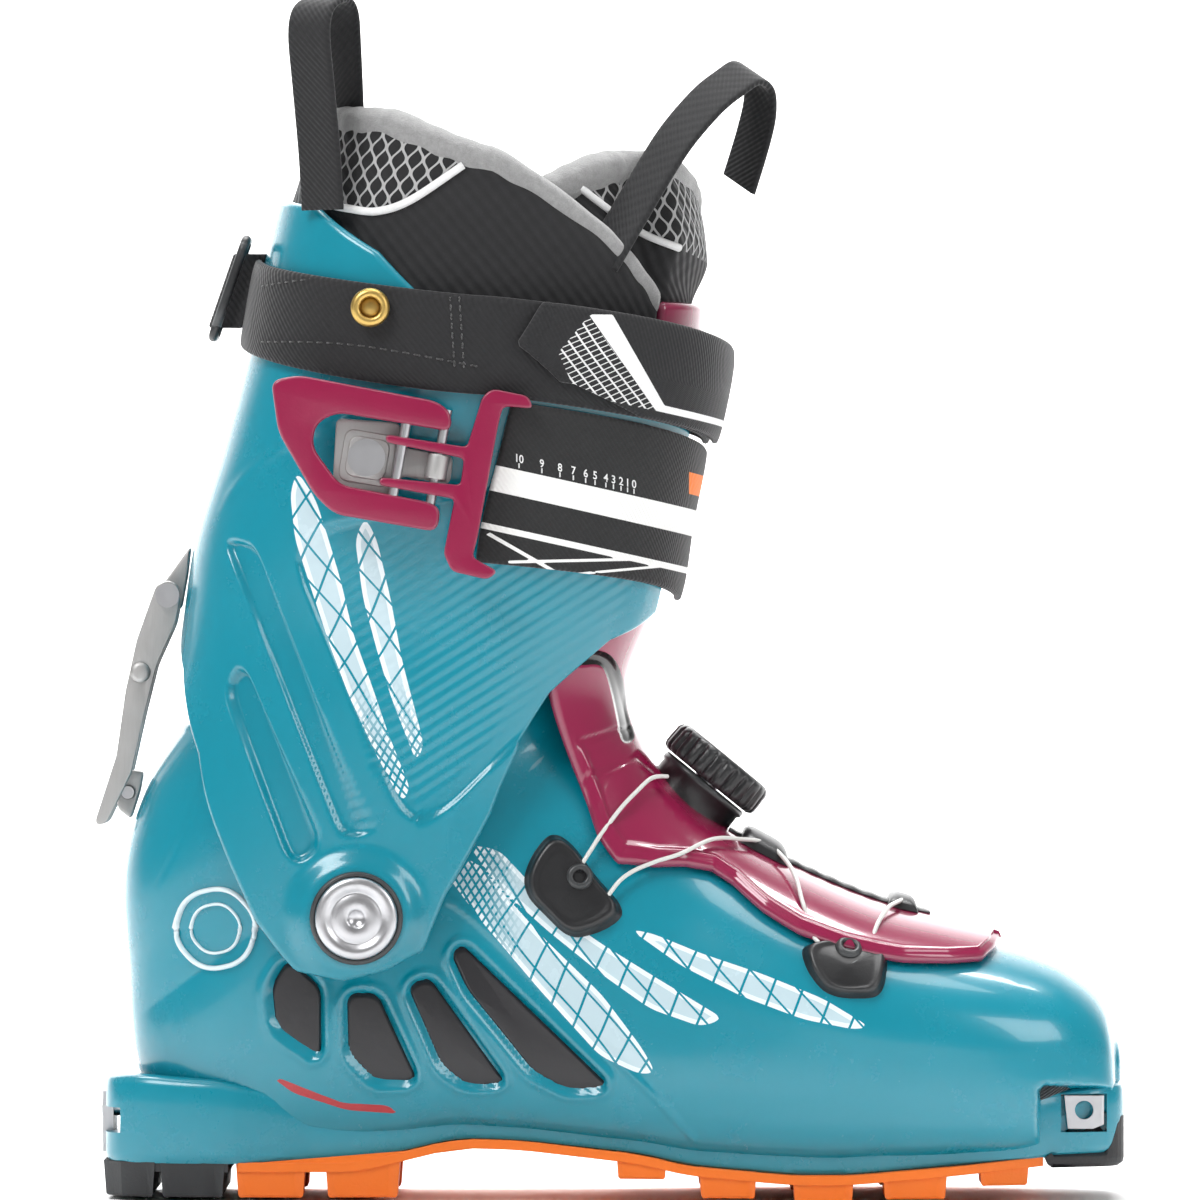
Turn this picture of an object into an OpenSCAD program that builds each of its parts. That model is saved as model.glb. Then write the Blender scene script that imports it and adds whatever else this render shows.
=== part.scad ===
/* [Overall] */
// Length of the sole, heel to toe
sole_len = 285; // [270:1:305]
// Height to the top of the rear pull loop
boot_h = 336; // [320:1:360]
// Widest width of the lower shell
forefoot_w = 103; // [96:1:112]
// Widest width of the cuff
cuff_w = 113; // [108:1:122]

/* [Walls and clearances] */
// Wall of the lower shell
shell_wall = 4; // [3:0.25:5]
// Wall of the cuff
cuff_wall = 3; // [2.5:0.25:3.5]
// Thickness of the tongue
tongue_t = 3.4; // [2.8:0.2:4]
// Thickness of the liner
liner_t = 8; // [6:0.5:10]
// Gap between the liner and what is around it
liner_gap = 0.9; // [0.6:0.1:1.2]
// Thickness of the straps
strap_t = 2.4; // [1.8:0.2:3]
// Gap between a strap and the cuff
strap_gap = 0.6; // [0.4:0.1:1]

/* [Cuff pivot] */
// Radius of the pivot bolt's shank
pivot_r = 5; // [4:0.25:6]
// Radius of the pivot bolt's head
pivot_head_r = 11.8; // [10:0.2:13]
// Running fit of the pivot, on the radius
pivot_fit = 0.06; // [0.02:0.01:0.1]

/* [Sole] */
// Thickness of the rubber under the shell
sole_t = 3; // [2:0.5:4]
// Radius of the toe binding socket
socket_r = 2.6; // [2:0.1:3]
// Depth of the toe binding socket
socket_depth = 5; // [4:0.5:6]

/* [Dial] */
// Radius of the dial knob
knob_r = 16; // [14:0.5:18]
// Height of the dial knob
knob_h = 9; // [7:0.5:11]
// How far the dial pulls up to release
dial_travel = 2.5; // [1.5:0.5:3]

/* [Buckle] */
// Thickness of the buckle lever and its frame
buckle_t = 4; // [3:0.5:5]
// Radius of the buckle pins
buckle_pin_r = 1.4; // [1.2:0.1:1.5]
// Running fit of the small hinge pins, on the radius
pin_fit = 0.05; // [0.02:0.01:0.08]

/* [Walk lever] */
// Width across the walk lever's two side plates
lever_w = 18; // [16:1:22]
// Thickness of each side plate
lever_plate = 2; // [1.5:0.25:2.5]

/* [Hidden] */
$fn = 48;
kx = sole_len / 285;
kz = boot_h / 336;
kw = forefoot_w / 103;
kc = cuff_w / 113;
teal = "#1794a8";
magenta = "#a02a58";
steel = "#c9ccd0";
black = "#26262a";

// Side-view points of the boot, scaled with its length and height
function side_pt(p) = [p[0] * kx, p[1] * kz];
function side_pts(list) = [for (p = list) side_pt(p)];
pivot = side_pt([-70, 79.5]);

// Stations of the lower shell from the toe to the ankle:
// top point x, z; bottom point x, z; half width lateral, medial
foot_st = [[142, 45, 142, 28, 20, 21], [138, 56.5, 140.5, 23, 31, 33], [127.5, 65, 132, 20.5, 40, 43],
  [113, 70.5, 118, 13, 46.5, 48.5], [96, 74.5, 97, 12.2, 51, 50], [76, 79.5, 75, 12.2, 53, 49.5],
  [56, 87.5, 51, 12.2, 52, 47.5], [38, 96.5, 27, 12.2, 48, 44.5], [24, 106, 2, 12.2, 43.5, 41.5],
  [12, 118, -26, 12.2, 40.5, 39.5], [5, 130, -62, 12.8, 39, 38.5], [0, 138, -108, 14, 38, 37.5],
  [-3, 142, -131, 33, 37.5, 37.5], [-5, 145, -135.5, 66, 38.5, 38.5], [-7, 147, -136.5, 92, 39, 39],
  [-9, 149, -130.5, 114, 38.5, 38.5], [-11, 151, -120.5, 131, 37.5, 37.5]];
// How square the back of a station is along the lower shell
foot_back = [[0, 3.4], [10, 3.4], [12.5, 2.3], [16, 2.1]];
// Stations of the cuff's outer face from the ankle to the top, in the same form
leg_st = [[8, 62, -138, 52, 47, 47], [6, 90, -139, 84, 47.5, 47.5], [4, 120, -135, 108, 48, 48],
  [8, 145, -128, 130, 48.5, 48.5], [17, 166, -121.5, 152, 49, 49.5], [21, 190, -116.5, 184, 51.5, 52.5],
  [25.5, 212, -108.5, 211, 54, 55], [30, 236, -101.5, 238, 56, 57], [31, 262, -97, 262, 56, 57],
  [27, 284, -92, 284, 54, 55.5], [24, 302, -88, 302, 52, 53.5]];

function sgn(v) = v < 0 ? -1 : 1;
function spline(a, b, c, d, t) =
  0.5 * (2 * b + (c - a) * t + (2 * a - 5 * b + 4 * c - d) * t * t + (3 * b - a - 3 * c + d) * t * t * t);
function station(s, u) =
  let (n = len(s) - 1, i = max(0, min(floor(u), n - 1)))
  spline(s[max(i - 1, 0)], s[i], s[i + 1], s[min(i + 2, n)], u - i);
// A point of a form: station u, angle a from the front, offset d outwards, and lift of the back point
function form(s, kw, u, a, d, lift, n_front, n_back) =
  let (p = station(s, u), f = side_pt([p[0], p[1]]), b0 = side_pt([p[2], p[3]]),
    dir = (f - b0) / norm(f - b0), b = b0 + dir * lift, c = (f + b) / 2, h = norm(f - b) / 2 + d,
    w = (sin(a) < 0 ? p[4] : p[5]) * kw + d, n = cos(a) < 0 ? n_back : n_front,
    q = sgn(cos(a)) * pow(abs(cos(a)), 2 / n), r = sgn(sin(a)) * pow(abs(sin(a)), 2 / n))
  [c[0] + dir[0] * h * q, w * r, c[1] + dir[1] * h * q];
function foot(u, a, d, lift = 0) = form(foot_st, kw, u, a, d, lift, 2.2, lookup(u, foot_back));
function leg(u, a, d) = form(leg_st, kc, u, a, d, 0, 2.35, 2.55);
function steps(a, b, n) = [for (i = [0:n]) a + (b - a) * i / n];
// Angles from a to b on one side of the boot, always rising
function arc(side, a, b, n) = side > 0 ? steps(a, b, n) : steps(-b, -a, n);

// Closed solid between two grids of points; rows run along the form, columns round it
module skin(outer, inner, wrap = false, cap = false) {
  rows = len(outer);
  cols = len(outer[0]);
  k = rows * cols;
  last = wrap ? cols - 1 : cols - 2;
  pts = concat([for (r = outer) each r], [for (r = inner) each r]);
  walls = [for (i = [0:rows - 2]) for (j = [0:last])
    let (a = i * cols + j, b = a + cols, d = i * cols + (j + 1) % cols, e = d + cols)
    each [[a, b, d], [d, b, e], [k + d, k + b, k + a], [k + e, k + b, k + d]]];
  start = cap ? [for (j = [1:cols - 2]) each [[0, j, j + 1], [k, k + j + 1, k + j]]] :
    [for (j = [0:last]) let (d = (j + 1) % cols) each [[j, d, k + d], [j, k + d, k + j]]];
  m = (rows - 1) * cols;
  end = [for (j = [0:last]) let (b = m + j, e = m + (j + 1) % cols) each [[e, b, k + b], [e, k + b, k + e]]];
  sides = wrap ? [] : [for (i = [0:rows - 2])
    let (a = i * cols, b = a + cols, d = a + cols - 1, e = d + cols)
    each [[b, a, k + a], [b, k + a, k + b], [d, e, k + e], [d, k + e, k + d]]];
  polyhedron(pts, concat(walls, start, end, sides), convexity = 8);
}
// Solid through a list of rings, closed at both ends
module lump(rings) {
  rows = len(rings);
  cols = len(rings[0]);
  m = (rows - 1) * cols;
  walls = [for (i = [0:rows - 2]) for (j = [0:cols - 1])
    let (a = i * cols + j, b = a + cols, d = i * cols + (j + 1) % cols, e = d + cols)
    each [[a, b, d], [d, b, e]]];
  ends = [for (j = [1:cols - 2]) each [[0, j, j + 1], [m, m + j + 1, m + j]]];
  polyhedron([for (r = rings) each r], concat(walls, ends), convexity = 6);
}
// Patch of the foot form or the leg form between two offsets
module foot_patch(us, as, d0, d1, lift = 0) {
  skin([for (u = us) [for (a = as) foot(u, a, d1, lift)]], [for (u = us) [for (a = as) foot(u, a, d0, lift)]]);
}
// Band on the leg form; the tables give the station of its lower and upper edge at each angle
module leg_band(as, low, high, d0, d1, rows, wrap = false) {
  ts = steps(0, 1, rows);
  skin([for (t = ts) [for (a = as) leg(edge(low, a) * (1 - t) + edge(high, a) * t, a, d1)]],
    [for (t = ts) [for (a = as) leg(edge(low, a) * (1 - t) + edge(high, a) * t, a, d0)]], wrap);
}
function fold(a) = a > 180 ? 360 - a : abs(a);
function edge(table, a) = lookup(fold(a), table);
// Side-view outline made solid between two widths
module slab(pts, y0, y1) {
  translate([0, y1, 0]) rotate([90, 0, 0]) linear_extrude(y1 - y0) polygon(pts);
}
module pin_y(at, r, y0, y1) {
  translate([at[0], y1, at[1]]) rotate([90, 0, 0]) cylinder(r = r, h = y1 - y0);
}
// Both sides of the boot
module both() {
  children();
  mirror([0, 1, 0]) children();
}
// Round cable along a list of points
module cable(path, r) {
  n = len(path);
  tangent = [for (i = [0:n - 1])
    let (t = path[min(i + 1, n - 1)] - path[max(i - 1, 0)]) t / norm(t)];
  lump([for (i = [0:n - 1])
    let (side0 = cross(tangent[i], [0, 0, 1]), s = side0 / norm(side0), up = cross(s, tangent[i]))
    [for (a = [315:-45:0]) path[i] + r * (cos(a) * s + sin(a) * up)]]);
}
module strip_xz(pts, w, t) {
  n = len(pts);
  tangent = [for (i = [0:n - 1])
    let (v = pts[min(i + 1, n - 1)] - pts[max(i - 1, 0)]) v / norm(v)];
  out = [for (i = [0:n - 1]) pts[i] + t / 2 * [-tangent[i][1], tangent[i][0]]];
  back = [for (i = [n - 1:-1:0]) pts[i] - t / 2 * [-tangent[i][1], tangent[i][0]]];
  slab(concat(out, back), -w / 2, w / 2);
}

/* Sole */
// Half width of the sole at a distance along it, without the scale
sole_half = [[-141, 20], [-137, 27], [-128, 32], [-112, 35], [-90, 36], [-60, 35.5], [-30, 35.5], [0, 37.5],
  [25, 42], [50, 47], [75, 48.5], [95, 46], [112, 40], [124, 34.5], [133, 32.5], [139, 30], [144.5, 25]];
function plan(x0, x1, inset, step = 4) =
  let (n = ceil((x1 - x0) / step))
  concat([for (i = [0:n]) let (x = x0 + (x1 - x0) * i / n) [x * kx, -(lookup(x, sole_half) - inset) * kw]],
    [for (i = [n:-1:0]) let (x = x0 + (x1 - x0) * i / n) [x * kx, (lookup(x, sole_half) - inset) * kw]]);
shell_floor = 12;
module rand_block(x0, x1, z0, z1, inset = 0) {
  translate([0, 0, z0]) linear_extrude(z1 - z0) polygon(plan(x0, x1, inset));
}
module lug(x0, x1, z0, inset) {
  difference() {
    rand_block(x0, x1, z0, shell_floor - sole_t + 0.01, inset);
    translate([(x0 + x1) / 2 * kx, 0, z0]) cube([3, forefoot_w - 46, 5], center = true);
    translate([-200, -7, z0 - 1]) cube([400, 14, 4]);
  }
}
module outsole() {
  color("#f08a2c") {
    union() {
      rand_block(-106.5, 122, shell_floor - sole_t, shell_floor - 0.1, 2);
      for (l = [[-105, -84.5, 1.2], [-78, -58, 1.2], [2, 16, 6.5], [25, 41, 1.4], [51, 68, 0], [76, 94, 1.4],
        [103, 117, 4.8]])
        lug(l[0], l[1], l[2], 1);
    }
  }
}
module heel_tread() {
  color(black) rand_block(-140, -107, 1.2, shell_floor - 0.1, 1);
}
module toe_bumper() {
  color(black) rand_block(126, 144, 9, 20, 1);
}
toe_socket = side_pt([132.5, 25.5]);
module toe_notch(gap) {
  translate([127 * kx - gap, toe_half - 6 - gap, 20]) cube([30, 30, 9.5 * kz + gap]);
}
toe_half = 31.5;
module toe_insert() {
  color(steel) difference() {
    both() intersection() {
      slab(side_pts([[127, 29.5], [138, 29.5], [138, 21.5], [135, 20.3], [128, 20.3]]), -toe_half, -25.5);
      rand_block(120, 144, 14, 40, -1);
    }
    for (s = [-1, 1])
      translate([0, s * toe_half, 0]) pin_y(toe_socket, socket_r, -socket_depth, socket_depth);
  }
}
module heel_insert() {
  color(steel) difference() {
    translate([-141 * kx - 1, -13, shell_floor + 1]) cube([3, 26, 17]);
    for (s = [-1, 1])
      sole_screw(s, screw_r + 0.05, 14);
  }
}
screw_r = 2.2;
module sole_screw(s, r, h) {
  translate([-141 * kx - 1.4, s * 7, shell_floor + 13]) rotate([0, 90, 0]) cylinder(r = r, h = h);
}
module sole_screws() {
  color(steel) for (s = [-1, 1])
    sole_screw(s, screw_r, 12);
}

/* Lower shell */
windows = [[[-101, 66], [-97.5, 70.5], [-89, 65], [-89, 46.5], [-96, 52], [-100.5, 58]],
  [[-81.5, 61], [-79, 57], [-76, 56], [-66, 41.5], [-74.5, 41.5], [-81.5, 48]],
  [[-62, 63], [-58.5, 66], [-41.5, 40.5], [-49.5, 40], [-56, 46]],
  [[-52.5, 71.5], [-50.5, 74], [-16, 39.5], [-31, 41.5], [-38.5, 50]]];
ring = [for (j = [0:35]) j * 10];
shell_us = steps(0, 16, 24);
plug_at = side_pt([-111, 122]);
plug_r = 2.2;
module window_cuts() {
  for (w = windows)
    both() slab(side_pts(w), -60, -24);
}
module lower_shell() {
  color(teal) difference() {
    union() {
      lump([for (u = shell_us) [for (a = ring) foot(u, a, 0)]]);
      difference() {
        rand_block(-141, 144.5, shell_floor, 34);
        translate([-141 * kx - 2, -13.1, 0]) cube([4.1, 26.2, 40]);
      }
      both() pin_y(pivot, 15, shell_wall + 31.2, 42);
    }
    lump([for (u = shell_us) [for (a = ring) foot(u * 1.005 + 0.32, a, -shell_wall)]]);
    slab(side_pts([[104, 60], [104, 90], [30, 140], [30, 200], [-60, 200], [-60, 150], [-30, 120], [15, 92],
      [60, 70]]), -20, 20);
    window_cuts();
    for (s = [-1, 1])
      sole_screw(s, screw_r + 0.1, 14);
    translate([125.9 * kx, -60, 0]) cube([40, 120, 20.1]);
    both() toe_notch(0.1);
    both() pin_y(pivot, pivot_r + pivot_fit, 20, 60);
    both() pin_y(plug_at, plug_r, 20, 60);
  }
}
module window_panels(side) {
  color(black) resize([0, 0, 0]) intersection() {
    foot_patch(steps(8, 12.5, 8), arc(side, 70, 160, 12), -3.2, -1.2);
    window_cuts();
  }
}
module window_panels_lateral() { window_panels(-1); }
module window_panels_medial() { window_panels(1); }
module footboard() {
  color("#8b8b80") foot_patch(steps(3.4, 10.2, 14), steps(142, 218, 10), -shell_wall - 2.5, -shell_wall - 0.9);
}
module footbed() {
  color("#3b3b40") foot_patch(steps(3.4, 10.4, 14), steps(142, 218, 10), -liner_out - liner_t - 3.2,
    -liner_out - liner_t - 0.2, board_lift);
}

/* Tongue */
// Half angle of the tongue at each station of the lower shell
tongue_half = [[2.9, 9], [3.5, 24], [4.5, 33], [6, 38], [7.5, 44], [9, 47], [10, 47]];
tongue_low = 0.5;
tongue_end = 9.8;
leg_start = 3.75;
tongue_leg = -cuff_wall - 0.8;
tongue_cols = steps(-1, 1, 14);
function tongue_row(u, d) = [for (t = tongue_cols) foot(u, t * lookup(u, tongue_half), d)];
function shin_row(u, d) = [for (t = tongue_cols) leg(u, t * 38, d)];
module tongue_lower() {
  us = steps(2.9, tongue_end, 16);
  color(magenta) skin([for (u = us) tongue_row(u, tongue_low + tongue_t)], [for (u = us) tongue_row(u, tongue_low)]);
}
module tongue_flex() {
  ts = steps(0, 1, 5);
  color(magenta) skin(
    [for (t = ts) tongue_row(tongue_end, tongue_low + tongue_t) * (1 - t) + shin_row(leg_start, tongue_leg) * t],
    [for (t = ts) tongue_row(tongue_end, tongue_low) * (1 - t) + shin_row(leg_start, tongue_leg - tongue_t) * t]);
}
module tongue_upper() {
  us = steps(leg_start, 7.5, 8);
  color(magenta) skin([for (u = us) shin_row(u, tongue_leg)], [for (u = us) shin_row(u, tongue_leg - tongue_t)]);
}
spine_low = tongue_low + tongue_t + 0.05;
module lace_spine() {
  color(black) foot_patch(steps(4.3, 7.3, 8), steps(-7, 7, 4), spine_low, spine_low + 0.9);
}
module tongue_guide_mid() {
  color(black) foot_patch(steps(6.35, 7.05, 3), steps(-15, 15, 6), spine_low + 1, spine_low + 4.4);
}
module tongue_guide_front() {
  color(black) foot_patch(steps(4.5, 4.85, 2), steps(-12, 12, 6), spine_low + 1, spine_low + 3.6);
}

/* Dial closure: heights are measured along the dial's axis */
dial_at = side_pt([21.8, 109.9]);
dial_tilt = 39.3;
dial_floor = 4.4;
dial_top = 8.6;
core_r = 3.9;
module at_dial(t = 0) {
  translate([dial_at[0], 0, dial_at[1]]) rotate([0, dial_tilt, 0]) translate([0, 0, t]) children();
}
module dial_base() {
  color(black) difference() {
    at_dial(-7) cylinder(r = knob_r - 3, h = dial_top + 7);
    at_dial(dial_floor) cylinder(r = knob_r - 5.5, h = 10);
    lump([for (u = steps(6.5, 9.7, 9)) [for (a = ring) foot(u, a, spine_low + 0.2)]]);
  }
}
module lace_spool() {
  color("#5a5a60") at_dial(dial_floor + 0.2) difference() {
    cylinder(r = knob_r - 5.8, h = dial_top - dial_floor - 0.6);
    translate([0, 0, -1]) cylinder(r = core_r + 0.1, h = 10);
  }
}
module dial_core() {
  color(steel) at_dial(dial_floor + 0.2) cylinder(r = core_r, h = dial_top + 2 + knob_h / 2 - dial_floor);
}
module dial_knob() {
  teeth = 28;
  color(black) at_dial(dial_top + 0.4) difference() {
    union() {
      linear_extrude(knob_h - 1.5)
        polygon([for (i = [0:teeth * 4 - 1]) let (a = i * 90 / teeth, r = knob_r - 0.5 + 0.5 * sin(a * teeth))
          [r * cos(a), r * sin(a)]]);
      translate([0, 0, knob_h - 1.5]) cylinder(r = knob_r - 2, h = 1.5);
    }
    translate([0, 0, -1]) cylinder(r = core_r + pin_fit, h = 2.9 + knob_h / 2);
  }
}

/* Cable guides and cable */
module ankle_guide(side) {
  color(black) foot_patch(steps(9.05, 9.85, 4), arc(side, 57, 83, 6), 0.3, 4.6);
}
module ankle_guide_lateral() { ankle_guide(-1); }
module ankle_guide_medial() { ankle_guide(1); }
module toe_guide(side) {
  color(black) foot_patch(steps(5.15, 6.15, 4), arc(side, 46, 64, 6), 0.3, 4.4);
}
module toe_guide_lateral() { toe_guide(-1); }
module toe_guide_medial() { toe_guide(1); }
// The cable's route on one side as station, angle and offset on the lower shell
lace_r = 0.6;
lace_route = [[8.7, 20, 7.5], [9, 28, 6.6], [9.2, 38, 6], [9.35, 46, 5.8], [9.45, 52, 4.6], [9.55, 60, 3], [9.6, 72, 2.4],
  [9.35, 78, 2.4], [9.1, 74, 2.5], [8.9, 64, 3.2], [8.5, 54, 3.2], [8.1, 46, 5], [7.6, 32, 6.2], [7.1, 21, 6.4],
  [6.8, 13, 6.6], [6.6, 10, 6.6], [6.35, 19, 6.2], [6.2, 30, 6], [6.1, 40, 4.8], [6, 46, 2.6], [5.9, 54, 2.4], [5.6, 59, 2.4],
  [5.3, 54, 2.4], [5.15, 45, 2.6], [5.05, 36, 4.8], [4.9, 24, 6], [4.75, 14, 6.2], [4.68, 8, 6.3]];
module lace(side) {
  color(steel) cable([for (p = lace_route) foot(p[0], side * p[1], p[2])], lace_r);
}
module lace_lateral() { lace(-1); }
module lace_medial() { lace(1); }

/* Cuff pivot */
cuff_in = 43.2;
cuff_out = 50.8;
module pivot_bolt(side) {
  color(steel) mirror([0, side > 0 ? 0 : 1, 0]) {
    pin_y(pivot, pivot_r, shell_wall + 31.3, cuff_out + 0.1);
    difference() {
      pin_y(pivot, pivot_head_r, cuff_out + 0.1, cuff_out + 3.1);
      pin_y(pivot, 2.2, cuff_out + 1, cuff_out + 10);
    }
  }
}
module pivot_bolt_lateral() { pivot_bolt(-1); }
module pivot_bolt_medial() { pivot_bolt(1); }
module pivot_bushes() {
  color("#d8d4c4") both() difference() {
    pin_y(pivot, 13, 42.05, cuff_in - 0.05);
    pin_y(pivot, pivot_r + pivot_fit, 40, 45);
  }
}

/* Rear latch on the lower shell */
latch_at = side_pt([-135.3, 113.6]);
module latch_bracket() {
  color(steel) difference() {
    slab(side_pts([[-131.9, 114], [-130.9, 119.4], [-135.5, 120], [-138.6, 115], [-138.2, 109], [-134.5, 106]]), -4.5, 4.5);
    pin_y(latch_at, 1.8, -10, 10);
  }
}
module latch_pin() {
  color(steel) pin_y(latch_at, 1.8, -lever_w / 2 + lever_plate + 0.5, lever_w / 2 - lever_plate - 0.5);
}
module shell_plugs() {
  color(black) both() intersection() {
    pin_y(plug_at, plug_r - 0.02, 20, 60);
    foot_patch(steps(13, 16, 6), steps(100, 170, 14), -shell_wall, 0);
  }
}

/* Cuff */
// Station of the cuff's lower and upper edge at each angle from the front
cuff_low = [[20, 3.98], [38, 3.66], [53, 3], [60, 2.35], [66, 1.7], [77, 0.95], [82, 0.5], [94, 0.3], [102, 0.4],
  [110, 0.8], [120, 1.6], [135, 2.7], [150, 3.4], [160, 3.85], [180, 4.35]];
cuff_high = [[20, 6.1], [58, 6.5], [88, 7], [100, 7.45], [115, 8.05], [140, 8.6], [180, 8.8]];
module cuff() {
  color(teal) difference() {
    union() {
      leg_band(steps(20, 340, 46), cuff_low, cuff_high, -cuff_wall, 0, 12);
      both() pin_y(pivot, 14, cuff_in, cuff_out);
    }
    both() pin_y(pivot, pivot_r + pivot_fit, 30, 60);
    pin_y(buckle_at, 3, -60, -40);
    anchor_holes();
  }
}

/* Liner */
liner_out = shell_wall + liner_gap;
board_lift = 3.4;
ankle_u = 12.6;
shaft_u = 4.35;
liner_us = steps(1, ankle_u, 16);
module liner_foot() {
  color("#2d2d30") difference() {
    skin([for (u = liner_us) [for (a = ring) foot(u, a, -liner_out, board_lift)]],
      [for (u = liner_us) [for (a = ring) foot(u * 0.96 + 0.504, a, -liner_out - liner_t, board_lift)]], true, true);
    both() toe_notch(0.8);
  }
}
module liner_ankle() {
  top_u = 15.8;
  function ankle_ring(t, d) = [for (a = ring)
    foot(top_u, a, d, board_lift * (1 - t)) * (1 - t) + leg(shaft_u, a, d - tongue_t) * t];
  function rings(d) = concat([for (u = steps(ankle_u, top_u, 4)) [for (a = ring) foot(u, a, d, board_lift)]],
    [for (t = [0.35, 0.7, 1]) ankle_ring(t, d)]);
  color("#2d2d30") skin(rings(-liner_out), rings(-liner_out - liner_t), true);
}
shaft_high = [[42, 7.6], [60, 8.3], [90, 9.3], [120, 9.9], [150, 10], [180, 9.6]];
shaft_low = [[0, shaft_u + 0.03], [180, shaft_u + 0.03]];
module liner_shaft() {
  color("#2d2d30") leg_band(steps(42, 318, 26), shaft_low, shaft_high, -liner_out - liner_t, -liner_out, 8);
}
module liner_tongue() {
  us = steps(shaft_u + 0.03, 9.6, 8);
  d = tongue_leg - tongue_t - liner_gap;
  color("#333338") skin([for (u = us) [for (a = steps(-36, 36, 10)) leg(u, a, d)]],
    [for (u = us) [for (a = steps(-36, 36, 10)) leg(u, a, d - liner_t)]]);
}
// Flat webbing along a path, with the same width direction all along it
module ribbon(path, width, t) {
  n = len(path);
  across = width / norm(width);
  normal = [for (i = [0:n - 1])
    let (v = cross(path[min(i + 1, n - 1)] - path[max(i - 1, 0)], across)) v / norm(v)];
  skin([for (i = [0:n - 1]) [path[i] + width / 2 + normal[i] * t / 2, path[i] - width / 2 + normal[i] * t / 2]],
    [for (i = [0:n - 1]) [path[i] + width / 2 - normal[i] * t / 2, path[i] - width / 2 - normal[i] * t / 2]]);
}
function path_pts(list) = [for (p = list) [p[0] * kx, p[1] * kc, p[2] * kz]];
module pull_loop_rear() {
  color(black) ribbon(path_pts([[-78, -43.5, 281], [-80, -45, 305], [-83, -46, 326], [-82, -43, 333], [-77, -37, 335],
    [-72.5, -31, 331], [-71, -28, 320], [-70, -26, 304]]), [11.3, -8.3, 0], 1.8);
}
module pull_loop_front() {
  color(black) ribbon(path_pts([[5, -39, 274], [18, -33, 295], [34, -23, 312], [39, -18, 315.5], [42, -13, 312], [41, -10, 300],
    [36, -9, 284]]), [8, -9, -6], 1.8);
}

/* Straps */
power_low = [[0, 6.02], [90, 6.55], [180, 7.1]];
power_high = [[0, 7.05], [90, 7.55], [180, 8.05]];
pad_low = [[0, 6.02], [50, 6.3], [70, 6.66], [90, 6.8]];
module power_strap() {
  color(black) leg_band(steps(0, 350, 35), power_low, power_high, strap_gap, strap_gap + strap_t, 1, true);
}
module power_strap_pad() {
  color(black) leg_band(steps(-82, 60, 18), pad_low, power_high, strap_gap + strap_t + 0.3,
    strap_gap + 2 * strap_t + 0.3, 1);
}
strap_low = [[0, 4.1], [90, 4.95]];
strap_high = [[0, 5.8], [90, 6.4]];
module buckle_strap() {
  color(black) difference() {
    leg_band(steps(-84, 100, 22), strap_low, strap_high, strap_gap, strap_gap + strap_t, 1);
    anchor_holes();
  }
}
strap_w = 26;
wire = 2.6;
module strap_ring() {
  at = side_pt([-106.2, 255]);
  color(black) translate([at[0], -13, at[1]]) rotate([0, 19, 0]) difference() {
    cube([wire, 11.4 + 2 * wire, strap_w + 2 * wire], center = true);
    cube([2 * wire, 11.4, strap_w], center = true);
  }
}
grommet_at = side_pt([-66, 248.5]);
module strap_grommets() {
  y = 56 * kc + strap_gap + strap_t;
  color("#c8a860") both() difference() {
    pin_y(grommet_at, 5.3, y + 0.1, y + 1.6);
    pin_y(grommet_at, 2.8, y - 1, y + 3);
  }
}
anchor_at = side_pt([-46, 200]);
module anchor_holes() {
  for (z = [-8, 8])
    pin_y(anchor_at + [0, z], 2, 40, 70);
}
module strap_rivets() {
  color(steel) for (z = [-8, 8]) {
    pin_y(anchor_at + [0, z], 2, 50.4 * kc, 58.3 * kc);
    pin_y(anchor_at + [0, z], 4, 58.3 * kc, 58.3 * kc + 1.8);
  }
}

/* Buckle */
buckle_at = side_pt([-67, 207]);
lever_axis = side_pt([-47.5, 204.5]);
frame_axis = side_pt([-57.8, 206.5]);
pin_tilt = 10.5;
buckle_y = -60.5 * kc;
lever_y = buckle_y + buckle_t / 4;
base_y = buckle_y + buckle_t / 2 + 1.3;
module at_lever() {
  translate([lever_axis[0], lever_y, lever_axis[1]]) rotate([0, pin_tilt, 0]) children();
}
module at_frame() {
  translate([frame_axis[0], buckle_y, frame_axis[1]]) rotate([0, pin_tilt, 0]) children();
}
module pin_z(r, h) {
  cylinder(r = r, h = h, center = true);
}
module buckle_base() {
  color(steel) difference() {
    union() {
      slab(side_pts([[-75.5, 198], [-62, 195.5], [-59, 216], [-74.5, 217]]), base_y, base_y + 1.8);
      slab(side_pts([[-64, 202], [-44, 200], [-43, 207.5], [-62, 210]]), base_y, base_y + 1.8);
      at_lever() pin_z(buckle_pin_r + 1.5, 7);
      at_lever() translate([-2.6, 0, -3.5]) cube([5.2, base_y - lever_y + 0.5, 7]);
    }
    at_lever() pin_z(buckle_pin_r + pin_fit, 60);
    pin_y(buckle_at, 3, -70, -40);
  }
}
module buckle_rivet() {
  color(steel) {
    pin_y(buckle_at, 3, -cuff_w / 2 - 1, -48.6 * kc);
    pin_y(buckle_at, 5.2, -cuff_w / 2 - 3.2, -cuff_w / 2 - 1);
  }
}
module buckle_lever() {
  color(magenta) difference() {
    slab(side_pts([[-93.3, 228.3], [-85.7, 229.8], [-47.6, 222.6], [-43.6, 219.5], [-43.6, 214.2], [-75, 219.5],
      [-81, 216.5], [-82, 210], [-74.4, 199.5], [-50, 194.8], [-46.5, 193], [-47.5, 186.5], [-75.8, 191.4],
      [-81.4, 196.7], [-91.3, 214]]), buckle_y - buckle_t / 2, buckle_y + buckle_t / 2 + 1);
    at_lever() pin_z(buckle_pin_r, 60);
    at_frame() pin_z(buckle_pin_r, 60);
  }
}
module lever_pin() {
  color(steel) at_lever() pin_z(buckle_pin_r, 32);
}
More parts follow.
